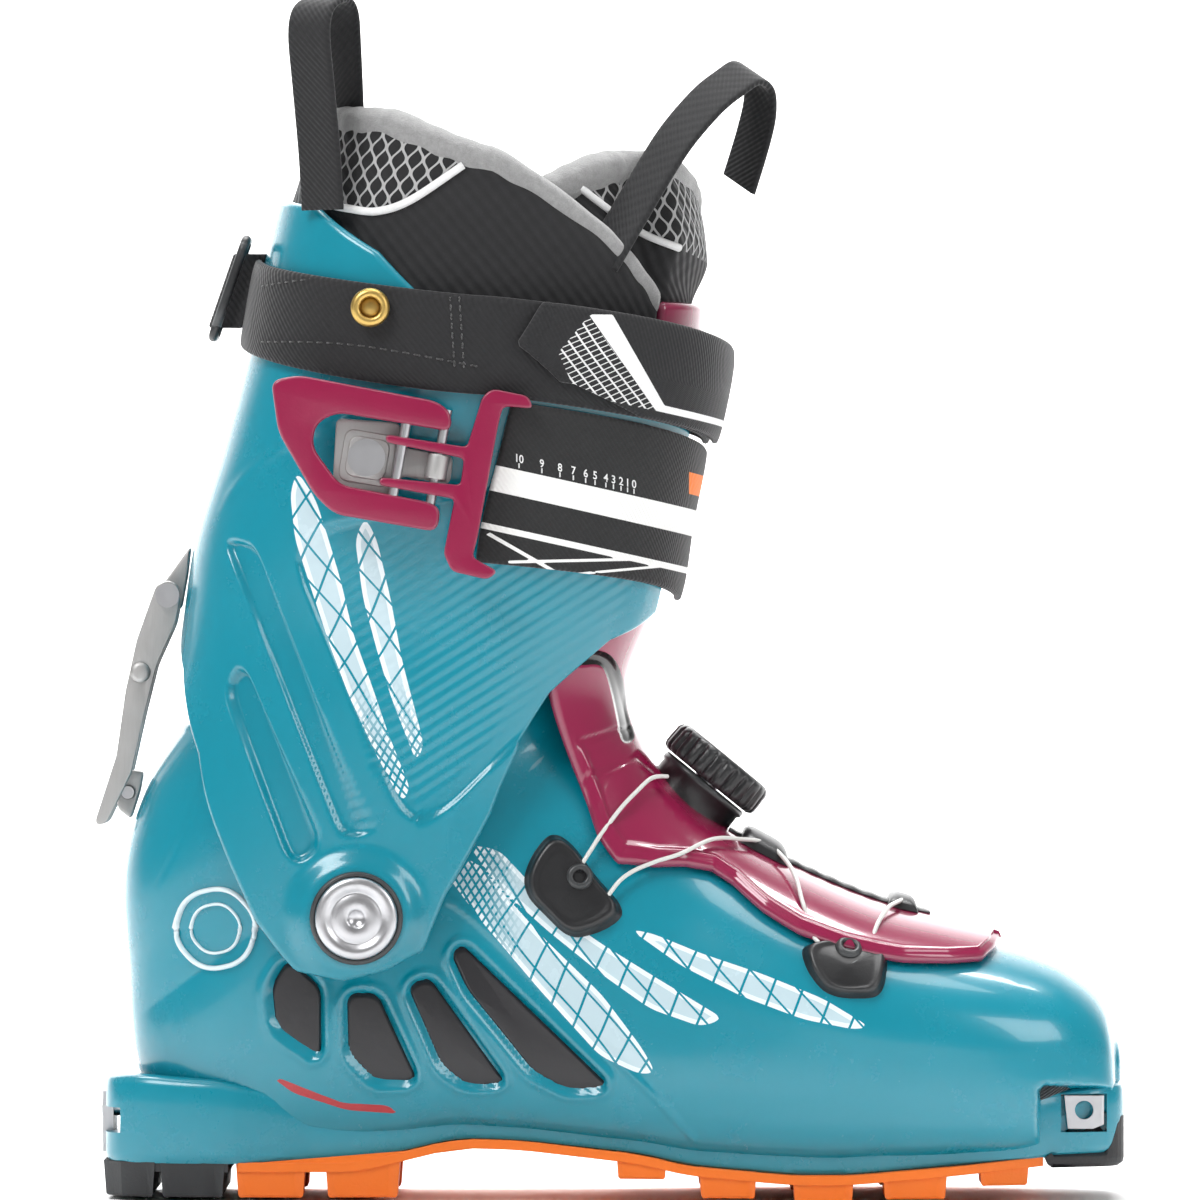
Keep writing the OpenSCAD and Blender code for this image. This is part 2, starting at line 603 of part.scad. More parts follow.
module buckle_frame() {
  color(magenta) difference() {
    slab(side_pts([[-61.5, 213.4], [-47.6, 211.2], [-39.2, 209.9], [-34.9, 224], [-32.1, 226], [-22.3, 224], [-20.9, 220.6],
      [-29.3, 221.2], [-30.7, 215.6], [-36.4, 184.6], [-37.8, 179.5], [-30.7, 175.6], [-33.5, 173.3], [-43.4, 175.6],
      [-45.7, 180.4], [-42.6, 195.6], [-63.5, 199.4], [-63.2, 201.6], [-41, 199.4], [-40, 206.8], [-61.7, 211.3]]),
      buckle_y - buckle_t / 2, buckle_y + buckle_t / 2);
    at_frame() pin_z(buckle_pin_r + pin_fit, 60);
    at_lever() translate([-buckle_pin_r - 0.8, -buckle_pin_r - 0.2, -20]) cube([2 * buckle_pin_r + 1.6, 20, 40]);
  }
}
module frame_pins() {
  color(steel) at_frame() pin_z(buckle_pin_r, 32);
}

/* Walk lever */
walk_at = side_pt([-124, 169]);
walk_rivet = side_pt([-131.6, 147.4]);
module walk_lever() {
  color(steel) {
    difference() {
      both() slab(side_pts([[-121.3, 172.2], [-124, 173.3], [-127.2, 171.8], [-128.6, 168], [-132.7, 156.4], [-135.8, 142.3],
        [-138.4, 124], [-144.3, 105.7], [-143.8, 104.4], [-141, 105], [-134, 119.5], [-130.4, 135.8], [-127, 149.4],
        [-121.8, 161], [-120.4, 168]]), -lever_w / 2, -lever_w / 2 + lever_plate);
      pin_y(walk_at, 2.2, -20, 20);
    }
    pin_y(walk_rivet, 2.6, -lever_w / 2, lever_w / 2);
  }
}
module walk_lever_pin() {
  color(steel) {
    pin_y(walk_at, 2.2, -lever_w / 2 - 0.5, lever_w / 2 + 0.5);
    both() pin_y(walk_at, 3.4, -lever_w / 2 - 1.6, -lever_w / 2 - 0.1);
  }
}
module lever_bracket() {
  color(steel) difference() {
    slab(side_pts([[-120.3, 165], [-126.5, 165.5], [-127.6, 169.5], [-124.5, 173.5], [-117.6, 183], [-118.5, 175]]), -4.5, 4.5);
    pin_y(walk_at, 2.2 + pin_fit, -10, 10);
  }
}
module lever_spring() {
  color(steel) difference() {
    both() pin_y(walk_at, 3.8, 4.7, 6.6);
    pin_y(walk_at, 2.5, -10, 10);
  }
}

lower_shell();
outsole();
heel_tread();
toe_bumper();
toe_insert();
heel_insert();
sole_screws();
window_panels_lateral();
window_panels_medial();
footboard();
footbed();
tongue_lower();
tongue_flex();
tongue_upper();
lace_spine();
dial_base();
dial_core();
dial_knob();
lace_spool();
tongue_guide_mid();
tongue_guide_front();
ankle_guide_lateral();
ankle_guide_medial();
toe_guide_lateral();
toe_guide_medial();
lace_lateral();
lace_medial();
pivot_bolt_lateral();
pivot_bolt_medial();
pivot_bushes();
latch_bracket();
latch_pin();
shell_plugs();
cuff();
liner_foot();
liner_ankle();
liner_shaft();
liner_tongue();
pull_loop_rear();
pull_loop_front();
power_strap();
power_strap_pad();
strap_ring();
strap_grommets();
buckle_strap();
strap_rivets();
buckle_base();
buckle_rivet();
buckle_lever();
lever_pin();
buckle_frame();
frame_pins();
walk_lever();
walk_lever_pin();
lever_bracket();
lever_spring();
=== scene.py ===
import math
import bmesh
import bpy
import numpy as np
from mathutils import Matrix, Vector
from mathutils.bvhtree import BVHTree


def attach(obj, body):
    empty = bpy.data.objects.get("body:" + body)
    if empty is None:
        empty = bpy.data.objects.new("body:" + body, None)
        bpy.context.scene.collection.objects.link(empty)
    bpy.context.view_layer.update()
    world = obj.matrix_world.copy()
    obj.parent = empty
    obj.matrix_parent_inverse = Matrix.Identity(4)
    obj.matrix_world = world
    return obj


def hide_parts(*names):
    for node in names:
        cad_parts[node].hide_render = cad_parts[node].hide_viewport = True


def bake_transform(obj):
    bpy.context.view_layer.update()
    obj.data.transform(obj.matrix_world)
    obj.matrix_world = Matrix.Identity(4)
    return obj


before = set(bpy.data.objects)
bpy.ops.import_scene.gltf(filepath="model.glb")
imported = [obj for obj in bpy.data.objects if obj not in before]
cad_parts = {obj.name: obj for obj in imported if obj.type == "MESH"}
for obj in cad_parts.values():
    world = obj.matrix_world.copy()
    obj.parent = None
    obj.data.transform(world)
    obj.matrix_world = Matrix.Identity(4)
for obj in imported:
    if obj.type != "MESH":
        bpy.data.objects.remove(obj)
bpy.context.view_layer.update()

mm = 0.001  # every form below is in millimetres

# The boot's two forms: front x, z; back x, z; half width lateral, medial
footForm = {
    "table": np.array([[142, 45, 142, 28, 20, 21], [138, 56.5, 140.5, 23, 31, 33],
                       [127.5, 65, 132, 20.5, 40, 43], [113, 70.5, 118, 13, 46.5, 48.5],
                       [96, 74.5, 97, 12.2, 51, 50], [76, 79.5, 75, 12.2, 53, 49.5],
                       [56, 87.5, 51, 12.2, 52, 47.5], [38, 96.5, 27, 12.2, 48, 44.5],
                       [24, 106, 2, 12.2, 43.5, 41.5], [12, 118, -26, 12.2, 40.5, 39.5],
                       [5, 130, -62, 12.8, 39, 38.5], [0, 138, -108, 14, 38, 37.5],
                       [-3, 142, -131, 33, 37.5, 37.5], [-5, 145, -135.5, 66, 38.5, 38.5],
                       [-7, 147, -136.5, 92, 39, 39], [-9, 149, -130.5, 114, 38.5, 38.5],
                       [-11, 151, -120.5, 131, 37.5, 37.5]], float),
    "frontPower": 2.2, "backAt": [0, 10, 12.5, 16], "backPower": [3.4, 3.4, 2.3, 2.1]}
legForm = {
    "table": np.array([[8, 62, -138, 52, 47, 47], [6, 90, -139, 84, 47.5, 47.5],
                       [4, 120, -135, 108, 48, 48], [8, 145, -128, 130, 48.5, 48.5],
                       [17, 166, -121.5, 152, 49, 49.5], [21, 190, -116.5, 184, 51.5, 52.5],
                       [25.5, 212, -108.5, 211, 54, 55], [30, 236, -101.5, 238, 56, 57],
                       [31, 262, -97, 262, 56, 57], [27, 284, -92, 284, 54, 55.5],
                       [24, 302, -88, 302, 52, 53.5]], float),
    "frontPower": 2.35, "backAt": [0, 10], "backPower": [2.55, 2.55]}
pivot = np.array([-70, 79.5])


def stationAt(table, u):
    last = len(table) - 1
    i = np.clip(np.floor(u).astype(int), 0, last - 1)
    t = (u - i)[..., None]
    a, b = table[np.maximum(i - 1, 0)], table[i]
    c, d = table[i + 1], table[np.minimum(i + 2, last)]
    return 0.5 * (2 * b + (c - a) * t + (2 * a - 5 * b + 4 * c - d) * t ** 2
                  + (3 * b - a - 3 * c + d) * t ** 3)


# u is the station, a the angle from the front (lateral negative), d the offset outwards
def formPoints(form, u, a, d=0, lift=0):
    u, a, d = np.broadcast_arrays(np.asarray(u, float), a, d)
    p = stationAt(form["table"], u)
    front, back = p[..., 0:2], p[..., 2:4]
    way = (front - back) / np.linalg.norm(front - back, axis=-1, keepdims=True)
    back = back + way * lift
    centre = (front + back) / 2
    half = np.linalg.norm(front - back, axis=-1) / 2 + d
    cosA, sinA = np.cos(np.radians(a)), np.sin(np.radians(a))
    width = np.where(sinA < 0, p[..., 4], p[..., 5]) + d
    power = np.where(cosA < 0, np.interp(u, form["backAt"], form["backPower"]), form["frontPower"])
    q = np.sign(cosA) * np.abs(cosA) ** (2 / power)
    r = np.sign(sinA) * np.abs(sinA) ** (2 / power)
    return np.stack([centre[..., 0] + way[..., 0] * half * q, width * r,
                     centre[..., 1] + way[..., 1] * half * q], -1)


def ease(t):
    t = np.clip(t, 0, 1)
    return t * t * (3 - 2 * t)


# Distance run along a path from its first point
def runAlong(path):
    return np.concatenate([[0], np.cumsum(np.linalg.norm(np.diff(path, axis=0), axis=1))])


# The same along every row of a grid of points
def runAcross(grid):
    steps = np.linalg.norm(np.diff(grid, axis=1), axis=2)
    return np.concatenate([np.zeros((len(grid), 1)), np.cumsum(steps, axis=1)], 1)


# Stations whose rings lie evenly along the form
def evenStations(form, low, high, count):
    u = np.linspace(low, high, 1200)
    steps = [np.linalg.norm(np.diff(formPoints(form, u, a), axis=0), axis=1) for a in (0, 90, 180)]
    run = np.concatenate([[0], np.cumsum(np.max(steps, axis=0))])
    return np.interp(np.linspace(0, run[-1], count), run, u)


# Angles that step evenly round each ring, quarter by quarter
def evenAngles(form, us, corners, counts):
    columns = []
    for low, high, count in zip(corners, corners[1:], counts):
        a = low + (high - low) * ease(np.linspace(0, 1, 240))
        run = runAcross(formPoints(form, us[:, None], a[None, :]))
        goal = np.linspace(0, 1, count, endpoint=False)
        columns.append(np.array([np.interp(goal * r[-1], r, a) for r in run]))
    return np.concatenate(columns, 1)


# Signed distance to a closed side-view outline, negative inside
def outlineDistance(x, z, outline):
    outline = np.asarray(outline, float)
    inside = np.zeros(x.shape, bool)
    best = np.full(x.shape, 1e9)
    for (x0, z0), (x1, z1) in zip(outline, np.roll(outline, -1, 0)):
        best = np.minimum(best, edgeDistance(x, z, x0, z0, x1, z1))
        if z0 != z1:
            crossing = ((z0 > z) != (z1 > z)) & (x < (x1 - x0) * (z - z0) / (z1 - z0) + x0)
            inside ^= crossing
    return np.where(inside, -best, best)


def edgeDistance(x, z, x0, z0, x1, z1):
    dx, dz = x1 - x0, z1 - z0
    t = np.clip(((x - x0) * dx + (z - z0) * dz) / (dx * dx + dz * dz), 0, 1)
    return np.hypot(x - x0 - t * dx, z - z0 - t * dz)


def pathDistance(x, z, path):
    return np.min([edgeDistance(x, z, *p, *q) for p, q in zip(path, path[1:])], axis=0)


# Corners of an outline turned into short curves
def softened(outline, radius, steps=5):
    outline = np.asarray(outline, float)
    made = []
    for before, corner, after in zip(np.roll(outline, 1, 0), outline, np.roll(outline, -1, 0)):
        a, b = before - corner, after - corner
        a *= min(radius / np.linalg.norm(a), 0.45)
        b *= min(radius / np.linalg.norm(b), 0.45)
        for t in np.linspace(0, 1, steps):
            made.append(corner + a * (1 - t) ** 2 + b * t ** 2)
    return np.array(made)


# Smooth curve through listed points
def smoothPath(points, perSpan=12):
    points = np.asarray(points, float)
    u = np.linspace(0, len(points) - 1, (len(points) - 1) * perSpan + 1)
    return stationAt(points, u)


def addObject(name, points, faces, smooth=True):
    mesh = bpy.data.meshes.new(name)
    mesh.from_pydata((np.asarray(points, float) * mm).tolist(), [], [list(map(int, f)) for f in faces])
    work = bmesh.new()
    work.from_mesh(mesh)
    bmesh.ops.remove_doubles(work, verts=work.verts, dist=1e-7)
    bmesh.ops.recalc_face_normals(work, faces=work.faces)
    work.to_mesh(mesh)
    work.free()
    if smooth:
        mesh.shade_smooth()
    obj = bpy.data.objects.new(name, mesh)
    bpy.context.scene.collection.objects.link(obj)
    return obj


def gridFaces(rows, cols, wrap):
    r, c = np.meshgrid(np.arange(rows - 1), np.arange(cols if wrap else cols - 1), indexing="ij")
    r, c, n = r.ravel(), c.ravel(), (c.ravel() + 1) % cols
    return np.stack([r * cols + c, r * cols + n, (r + 1) * cols + n, (r + 1) * cols + c], 1)


# Faces of stacked rings, closed at both ends
def cappedFaces(rings, count):
    last = (rings - 1) * count
    ends = [list(range(count)), list(range(last, last + count))]
    return [list(f) for f in gridFaces(rings, count, True)] + ends


# Closed sheet between two grids of points, with a rounded rim
def addSheet(name, outer, inner, wrap=False, bulge=0.7, rimSteps=4, closedStart=False, cloth=None):
    rows, cols = outer.shape[:2]
    count = rows * cols
    flat = None if cloth is None else cloth.reshape(-1, 3)
    maps = [] if cloth is None else [flat, flat]
    points = [outer.reshape(-1, 3), inner.reshape(-1, 3)]
    quads = gridFaces(rows, cols, wrap)
    faces = [list(f) for f in quads] + [list(f[::-1]) for f in quads + count]
    ids = np.arange(count).reshape(rows, cols)
    if wrap:
        loops = [(ids[-1], ids[-2])]
        if closedStart:
            faces += [list(ids[0]), list(ids[0][::-1] + count)]
        else:
            loops.append((ids[0], ids[1]))
    else:
        edge = np.concatenate([ids[0], ids[1:, -1], ids[-1, -2::-1], ids[-2:0:-1, 0]])
        loops = [(edge, None)]
    total = 2 * count
    for loop, inward in loops:
        o, i = points[0][loop], points[1][loop]
        middle, half = (o + i) / 2, (o - i) / 2
        away = np.cross(np.roll(middle, -1, 0) - np.roll(middle, 1, 0), half)
        away /= np.linalg.norm(away, axis=1, keepdims=True) + 1e-12
        k = cols // 2
        inside = points[0][inward[k]] if inward is not None else points[0][ids[1, k]]
        if np.dot(away[k], o[k] - inside) < 0:
            away = -away
        away *= np.linalg.norm(half, axis=1, keepdims=True) * bulge
        rings = [loop]
        for s in range(1, rimSteps):
            turn = math.pi * s / rimSteps
            points.append(middle + half * math.cos(turn) + away * math.sin(turn))
            rings.append(np.arange(total, total + len(loop)))
            total += len(loop)
            if cloth is not None:
                maps.append(flat[loop])
        rings.append(loop + count)
        for ring, nextRing in zip(rings, rings[1:]):
            faces += [list(f) for f in np.stack([ring, np.roll(ring, -1), np.roll(nextRing, -1), nextRing],
                                                1)]
    obj = addObject(name, np.concatenate(points), faces)
    if cloth is not None and len(obj.data.vertices) == total:
        addMap(obj, "cloth", np.concatenate(maps))
    return obj


def addValues(obj, name, values):
    layer = obj.data.attributes.new(name, "FLOAT", "POINT")
    layer.data.foreach_set("value", np.asarray(values, np.float32))


def addMap(obj, name, vectors):
    layer = obj.data.attributes.new(name, "FLOAT_VECTOR", "POINT")
    layer.data.foreach_set("vector", np.asarray(vectors, np.float32).ravel())


def pointsOf(obj):
    co = np.zeros(len(obj.data.vertices) * 3, np.float32)
    obj.data.vertices.foreach_get("co", co)
    return co.reshape(-1, 3).astype(float) / mm


def treeOf(points, faces):
    return BVHTree.FromPolygons([tuple(p) for p in points], [tuple(f) for f in faces])


# Point of a form's surface straight in from the side, and its outward normal
def castSide(tree, x, z, side):
    hit, normal, _, _ = tree.ray_cast(Vector((x, side * 300, z)), Vector((0, -side, 0)))
    if hit is None:
        return np.array([x, side * 40, z]), np.array([0, side, 0])
    if normal.y * side < 0:
        normal = -normal
    return np.array(hit), np.array(normal)


# Round bar along a path
def addTube(name, path, radius, sides=10, squeeze=(1, 1), width=None):
    path = np.asarray(path, float)
    ahead = np.gradient(path, axis=0)
    ahead /= np.linalg.norm(ahead, axis=1, keepdims=True)
    across = np.cross(ahead, [0, 0, 1.0]) if width is None else width - ahead * (ahead @ width)[:, None]
    across /= np.linalg.norm(across, axis=1, keepdims=True) + 1e-12
    up = np.cross(across, ahead)
    radius = np.broadcast_to(radius, len(path))[:, None, None]
    turn = np.linspace(0, 2 * math.pi, sides, endpoint=False)[None, :, None]
    rings = path[:, None] + radius * (np.cos(turn) * squeeze[0] * across[:, None]
                                      + np.sin(turn) * squeeze[1] * up[:, None])
    return addObject(name, rings.reshape(-1, 3), cappedFaces(len(path), sides))


# Flat webbing along a path, with rounded selvedges and its own weave map
def addRibbon(name, path, across, width, thickness):
    path = np.asarray(path, float)
    across = np.broadcast_to(np.asarray(across, float), path.shape)
    across = across / np.linalg.norm(across, axis=1, keepdims=True)
    normal = np.cross(np.gradient(path, axis=0), across)
    normal /= np.linalg.norm(normal, axis=1, keepdims=True)
    run = runAlong(path)
    half, round = (width - thickness) / 2, thickness / 2
    section = [(s * half, round) for s in np.linspace(-1, 1, 13)]
    section += [(half + round * math.cos(turn), round * math.sin(turn)) for turn in np.radians([60, 30, 0,
                                                                                                -30, -60])]
    section += [(-p, -q) for p, q in section]
    rings = np.array([[path[i] + across[i] * p + normal[i] * q for p,
                       q in section] for i in range(len(path))])
    obj = addObject(name, rings.reshape(-1, 3), cappedFaces(len(path), len(section)))
    layer = np.array([[(run[i], p, 0) for p, q in section] for i in range(len(path))]).reshape(-1, 3)
    if len(obj.data.vertices) == len(layer):
        addMap(obj, "cloth", layer)
    return obj


# Mesh of a linked object with its modifiers applied
def evaluatedMesh(obj):
    bpy.context.view_layer.update()
    return bpy.data.meshes.new_from_object(obj.evaluated_get(bpy.context.evaluated_depsgraph_get()))


# Flat plate cut to a side-view outline, with holes and rounded edges
def addPlate(name, outline, y0, y1, bevel=0.5, holes=()):
    curve = bpy.data.curves.new(name, "CURVE")
    curve.dimensions, curve.fill_mode = "2D", "BOTH"
    curve.extrude = (abs(y1 - y0) / 2 - bevel) * mm
    curve.bevel_depth, curve.bevel_resolution, curve.offset = bevel * mm, 2, -bevel * mm
    for ring in [outline, *holes]:
        spline = curve.splines.new("POLY")
        spline.points.add(len(ring) - 1)
        for point, (x, z) in zip(spline.points, ring):
            point.co = (x * mm, z * mm, 0, 1)
        spline.use_cyclic_u = True
    shape = bpy.data.objects.new(name + "_outline", curve)
    bpy.context.scene.collection.objects.link(shape)
    mesh = evaluatedMesh(shape)
    bpy.data.objects.remove(shape)
    stand = Matrix(((1, 0, 0, 0), (0, 0, -1, (y0 + y1) / 2 * mm), (0, 1, 0, 0), (0, 0, 0, 1)))
    mesh.transform(stand)
    work = bmesh.new()
    work.from_mesh(mesh)
    bmesh.ops.remove_doubles(work, verts=work.verts, dist=1e-7)
    bmesh.ops.recalc_face_normals(work, faces=work.faces)
    work.to_mesh(mesh)
    work.free()
    obj = bpy.data.objects.new(name, mesh)
    bpy.context.scene.collection.objects.link(obj)
    smoothByAngle(obj, 40)
    return obj


def smoothByAngle(obj, degrees):
    obj.data.shade_smooth()
    work = bmesh.new()
    work.from_mesh(obj.data)
    for edge in work.edges:
        if len(edge.link_faces) == 2:
            edge.smooth = edge.calc_face_angle(0) < math.radians(degrees)
    work.to_mesh(obj.data)
    work.free()


def addBevel(obj, width, segments=2, angle=35):
    step = obj.modifiers.new("edges", "BEVEL")
    step.width, step.segments = width * mm, segments
    step.limit_method, step.angle_limit = "ANGLE", math.radians(angle)
    step.use_clamp_overlap = True


# Turned piece: radius and height along an axis from a centre
def addTurned(name, centre, axis, profile, sides=72, ripple=None):
    axis = Vector(axis).normalized()
    side = axis.orthogonal().normalized()
    other = axis.cross(side)
    basis = np.array([side, other, axis])
    turn = np.linspace(0, 2 * math.pi, sides, endpoint=False)
    rings = []
    for radius, height in profile:
        r = np.full(sides, float(radius))
        if ripple:
            r = r + ripple(turn, radius, height)
        local = np.stack([r * np.cos(turn), r * np.sin(turn), np.full(sides, height)], 1)
        rings.append(local @ basis + np.asarray(centre))
    return addObject(name, np.concatenate(rings), cappedFaces(len(profile), sides))


def finishPiece(obj, body, material, slotName, *nodes):
    obj.data.materials.clear()
    obj.data.materials.append(material)
    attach(obj, body)
    if nodes:
        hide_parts(*nodes)
    return obj


def joinObjects(name, parts):
    with bpy.context.temp_override(active_object=parts[0], object=parts[0], selected_objects=parts,
                                   selected_editable_objects=parts):
        bpy.ops.object.join()
    parts[0].name = name
    parts[0].data.name = name
    return parts[0]


def srgb(r, g, b):
    return tuple(c / 12.92 if c <= 0.04045 else ((c + 0.055) / 1.055) ** 2.4 for c in (r / 255, g / 255,
                                                                                       b / 255)) + (1,)


def calc(tree, operation, a, b=None, c=None, clamp=False):
    node = tree.nodes.new("ShaderNodeMath")
    node.operation, node.use_clamp = operation, clamp
    for socket, value in zip(node.inputs, (a, b, c)):
        if value is None:
            continue
        if isinstance(value, (int, float)):
            socket.default_value = value
        else:
            tree.links.new(value, socket)
    return node.outputs[0]


def blendColor(tree, factor, a, b):
    node = tree.nodes.new("ShaderNodeMix")
    node.data_type = "RGBA"
    for socket, value in zip((node.inputs[0], node.inputs[6], node.inputs[7]), (factor, a, b)):
        if isinstance(value, (int, float, tuple)):
            socket.default_value = value
        else:
            tree.links.new(value, socket)
    return node.outputs[2]


def attributeNode(tree, name, vector=False):
    node = tree.nodes.new("ShaderNodeAttribute")
    node.attribute_name = name
    return node.outputs["Vector" if vector else "Fac"]


# One inside an outline whose signed distance is stored on the surface
def insideOf(tree, name):
    return calc(tree, "LESS_THAN", attributeNode(tree, name), 0.0)


def scaleVector(tree, vector, factor):
    node = tree.nodes.new("ShaderNodeVectorMath")
    node.operation = "SCALE"
    tree.links.new(vector, node.inputs[0])
    if isinstance(factor, (int, float)):
        node.inputs["Scale"].default_value = factor
    else:
        tree.links.new(factor, node.inputs["Scale"])
    return node.outputs[0]


# Object coordinates in millimetres
def placeInMm(tree):
    return scaleVector(tree, tree.nodes.new("ShaderNodeTexCoord").outputs["Object"], 1000)


def splitVector(tree, vector):
    node = tree.nodes.new("ShaderNodeSeparateXYZ")
    tree.links.new(vector, node.inputs[0])
    return node.outputs[0], node.outputs[1], node.outputs[2]


def noiseNode(tree, scale, detail=3, rough=0.55, vector=None):
    node = tree.nodes.new("ShaderNodeTexNoise")
    node.inputs["Scale"].default_value = scale
    node.inputs["Detail"].default_value = detail
    node.inputs["Roughness"].default_value = rough
    if vector is None:
        vector = tree.nodes.new("ShaderNodeTexCoord").outputs["Object"]
    tree.links.new(vector, node.inputs["Vector"])
    return node.outputs[0]


def newGroup(name, inputs, outputs):
    tree = bpy.data.node_groups.new(name, "ShaderNodeTree")
    for label, kind, value in inputs:
        socket = tree.interface.new_socket(name=label, in_out="INPUT", socket_type=kind)
        if value is not None:
            socket.default_value = value
    for label, kind in outputs:
        tree.interface.new_socket(name=label, in_out="OUTPUT", socket_type=kind)
    return tree, tree.nodes.new("NodeGroupInput"), tree.nodes.new("NodeGroupOutput")


# Fine moulding grain, slow colour drift and scuffs along raised edges
def mouldedGroup():
    tree, start, end = newGroup("mouldedSurface", [
        ("Color", "NodeSocketColor", (0.5, 0.5, 0.5, 1)), ("Grain Size", "NodeSocketFloat", 900.0),
        ("Grain Depth", "NodeSocketFloat", 0.02), ("Roughness", "NodeSocketFloat", 0.3),
        ("Wear", "NodeSocketFloat", 0.2)],
        [("Color", "NodeSocketColor"), ("Roughness", "NodeSocketFloat"), ("Height", "NodeSocketFloat")])
    place = tree.nodes.new("ShaderNodeTexCoord").outputs["Object"]
    grain = tree.nodes.new("ShaderNodeTexNoise")
    tree.links.new(place, grain.inputs["Vector"])
    tree.links.new(start.outputs["Grain Size"], grain.inputs["Scale"])
    drift = noiseNode(tree, 14, 2, 0.5, place)
    smudge = noiseNode(tree, 60, 5, 0.7, place)
    pointed = tree.nodes.new("ShaderNodeNewGeometry").outputs["Pointiness"]
    edge = calc(tree, "MULTIPLY", calc(tree, "SUBTRACT", pointed, 0.53), 9.0, clamp=True)
    edge = calc(tree, "MULTIPLY", calc(tree, "MULTIPLY", edge, smudge), start.outputs["Wear"])
    shade = calc(tree, "ADD", 0.9, calc(tree, "MULTIPLY", drift, 0.2))
    tone = scaleVector(tree, start.outputs["Color"], shade)
    worn = blendColor(tree, edge, tone, (0.72, 0.78, 0.8, 1))
    tree.links.new(worn, end.inputs["Color"])
    uneven = calc(tree, "MULTIPLY", calc(tree, "SUBTRACT", smudge, 0.5), 0.16)
    rough = calc(tree, "ADD", start.outputs["Roughness"], uneven)
    tree.links.new(calc(tree, "ADD", rough, calc(tree, "MULTIPLY", edge, 0.3), clamp=True),
                   end.inputs["Roughness"])
    tree.links.new(calc(tree, "MULTIPLY", grain.outputs[0], start.outputs["Grain Depth"]),
                   end.inputs["Height"])
    return tree


# Diagonal twill: two thread directions over a cloth map in millimetres. The colour carries painted shade:
# lighter on the thread tops, darker in the hollows between threads, following the weave's height
def weaveGroup():
    tree, start, end = newGroup("twillWeave", [
        ("Map", "NodeSocketVector", None), ("Thread", "NodeSocketFloat", 0.7),
        ("Color", "NodeSocketColor", (0.03, 0.03, 0.03, 1)),
        ("Light", "NodeSocketFloat", 0.6)],
        [("Color", "NodeSocketColor"), ("Height", "NodeSocketFloat")])
    x, y, _ = splitVector(tree, start.outputs["Map"])
    u = calc(tree, "DIVIDE", x, start.outputs["Thread"])
    v = calc(tree, "DIVIDE", y, start.outputs["Thread"])
    over = calc(tree, "SINE", calc(tree, "MULTIPLY", calc(tree, "ADD", u, v), math.pi))
    warp = calc(tree, "SINE", calc(tree, "MULTIPLY", calc(tree, "SUBTRACT", u, v), math.pi / 2))
    ridge = calc(tree, "MULTIPLY_ADD", over, 0.5, 0.5)
    thread = calc(tree, "MULTIPLY_ADD", warp, 0.25, 0.5)
    height = calc(tree, "MULTIPLY_ADD", thread, 0.5, calc(tree, "MULTIPLY", ridge, 0.7))
    fibre = noiseNode(tree, 1800, 2)
    # painted shade: colour scaled by thread height, so the hollows between threads are darker
    shade = calc(tree, "MULTIPLY_ADD", calc(tree, "MULTIPLY", height, fibre), start.outputs["Light"], 0.72)
    tree.links.new(scaleVector(tree, start.outputs["Color"], shade), end.inputs["Color"])
    tree.links.new(calc(tree, "MULTIPLY_ADD", fibre, 0.2, height), end.inputs["Height"])
    return tree


# Net of crossing lines that thickens along the print, on side-view coordinates
def netGroup():
    tree, start, end = newGroup("netPrint", [
        ("Map", "NodeSocketVector", None), ("Spacing", "NodeSocketFloat", 9.0),
        ("Line", "NodeSocketFloat", 0.08),
        ("Lean A", "NodeSocketFloat", 0.5), ("Lean B", "NodeSocketFloat", -0.9)],
        [("Lines", "NodeSocketFloat")])
    x, _, z = splitVector(tree, start.outputs["Map"])
    bend = calc(tree, "MULTIPLY", calc(tree, "SINE", calc(tree, "MULTIPLY", z, 0.11)), 1.6)
    masks = []
    for lean in ("Lean A", "Lean B"):
        run = calc(tree, "ADD", calc(tree, "ADD", calc(tree, "MULTIPLY", z, start.outputs[lean]), x), bend)
        part = calc(tree, "FRACT", calc(tree, "DIVIDE", run, start.outputs["Spacing"]))
        gap = calc(tree, "ABSOLUTE", calc(tree, "SUBTRACT", part, 0.5))
        masks.append(calc(tree, "LESS_THAN", gap, start.outputs["Line"]))
    tree.links.new(calc(tree, "MAXIMUM", *masks), end.inputs["Lines"])
    return tree


groups = {"moulded": mouldedGroup(), "weave": weaveGroup(), "net": netGroup()}


def useGroup(tree, name, **values):
    node = tree.nodes.new("ShaderNodeGroup")
    node.node_tree = groups[name]
    for label, value in values.items():
        socket = node.inputs[label.replace("_", " ")]
        if isinstance(value, bpy.types.NodeSocket):
            tree.links.new(value, socket)
        else:
            socket.default_value = value
    return node.outputs


def newMaterial(name):
    material = bpy.data.materials.new(name)
    material.use_nodes = True
    shader = material.node_tree.nodes["Principled BSDF"]
    return material, material.node_tree, shader


def linkBump(tree, shader, height, strength, distance=0.001):
    bump = tree.nodes.new("ShaderNodeBump")
    bump.inputs["Strength"].default_value = strength
    bump.inputs["Distance"].default_value = distance
    tree.links.new(height, bump.inputs["Height"])
    tree.links.new(bump.outputs[0], shader.inputs["Normal"])


def plasticMaterial(name, color, rough=0.3, coat=0.0, grainSize=900.0, grainDepth=0.05, wear=0.2, paint=None):
    material, tree, shader = newMaterial(name)
    base = color if paint is None else paint(tree, color)
    made = useGroup(tree, "moulded", Color=base, Roughness=rough, Grain_Size=grainSize,
                    Grain_Depth=grainDepth, Wear=wear)
    tree.links.new(made["Color"], shader.inputs["Base Color"])
    tree.links.new(made["Roughness"], shader.inputs["Roughness"])
    linkBump(tree, shader, made["Height"], 0.35)
    shader.inputs["Coat Weight"].default_value = coat
    shader.inputs["Coat Roughness"].default_value = 0.06
    return material


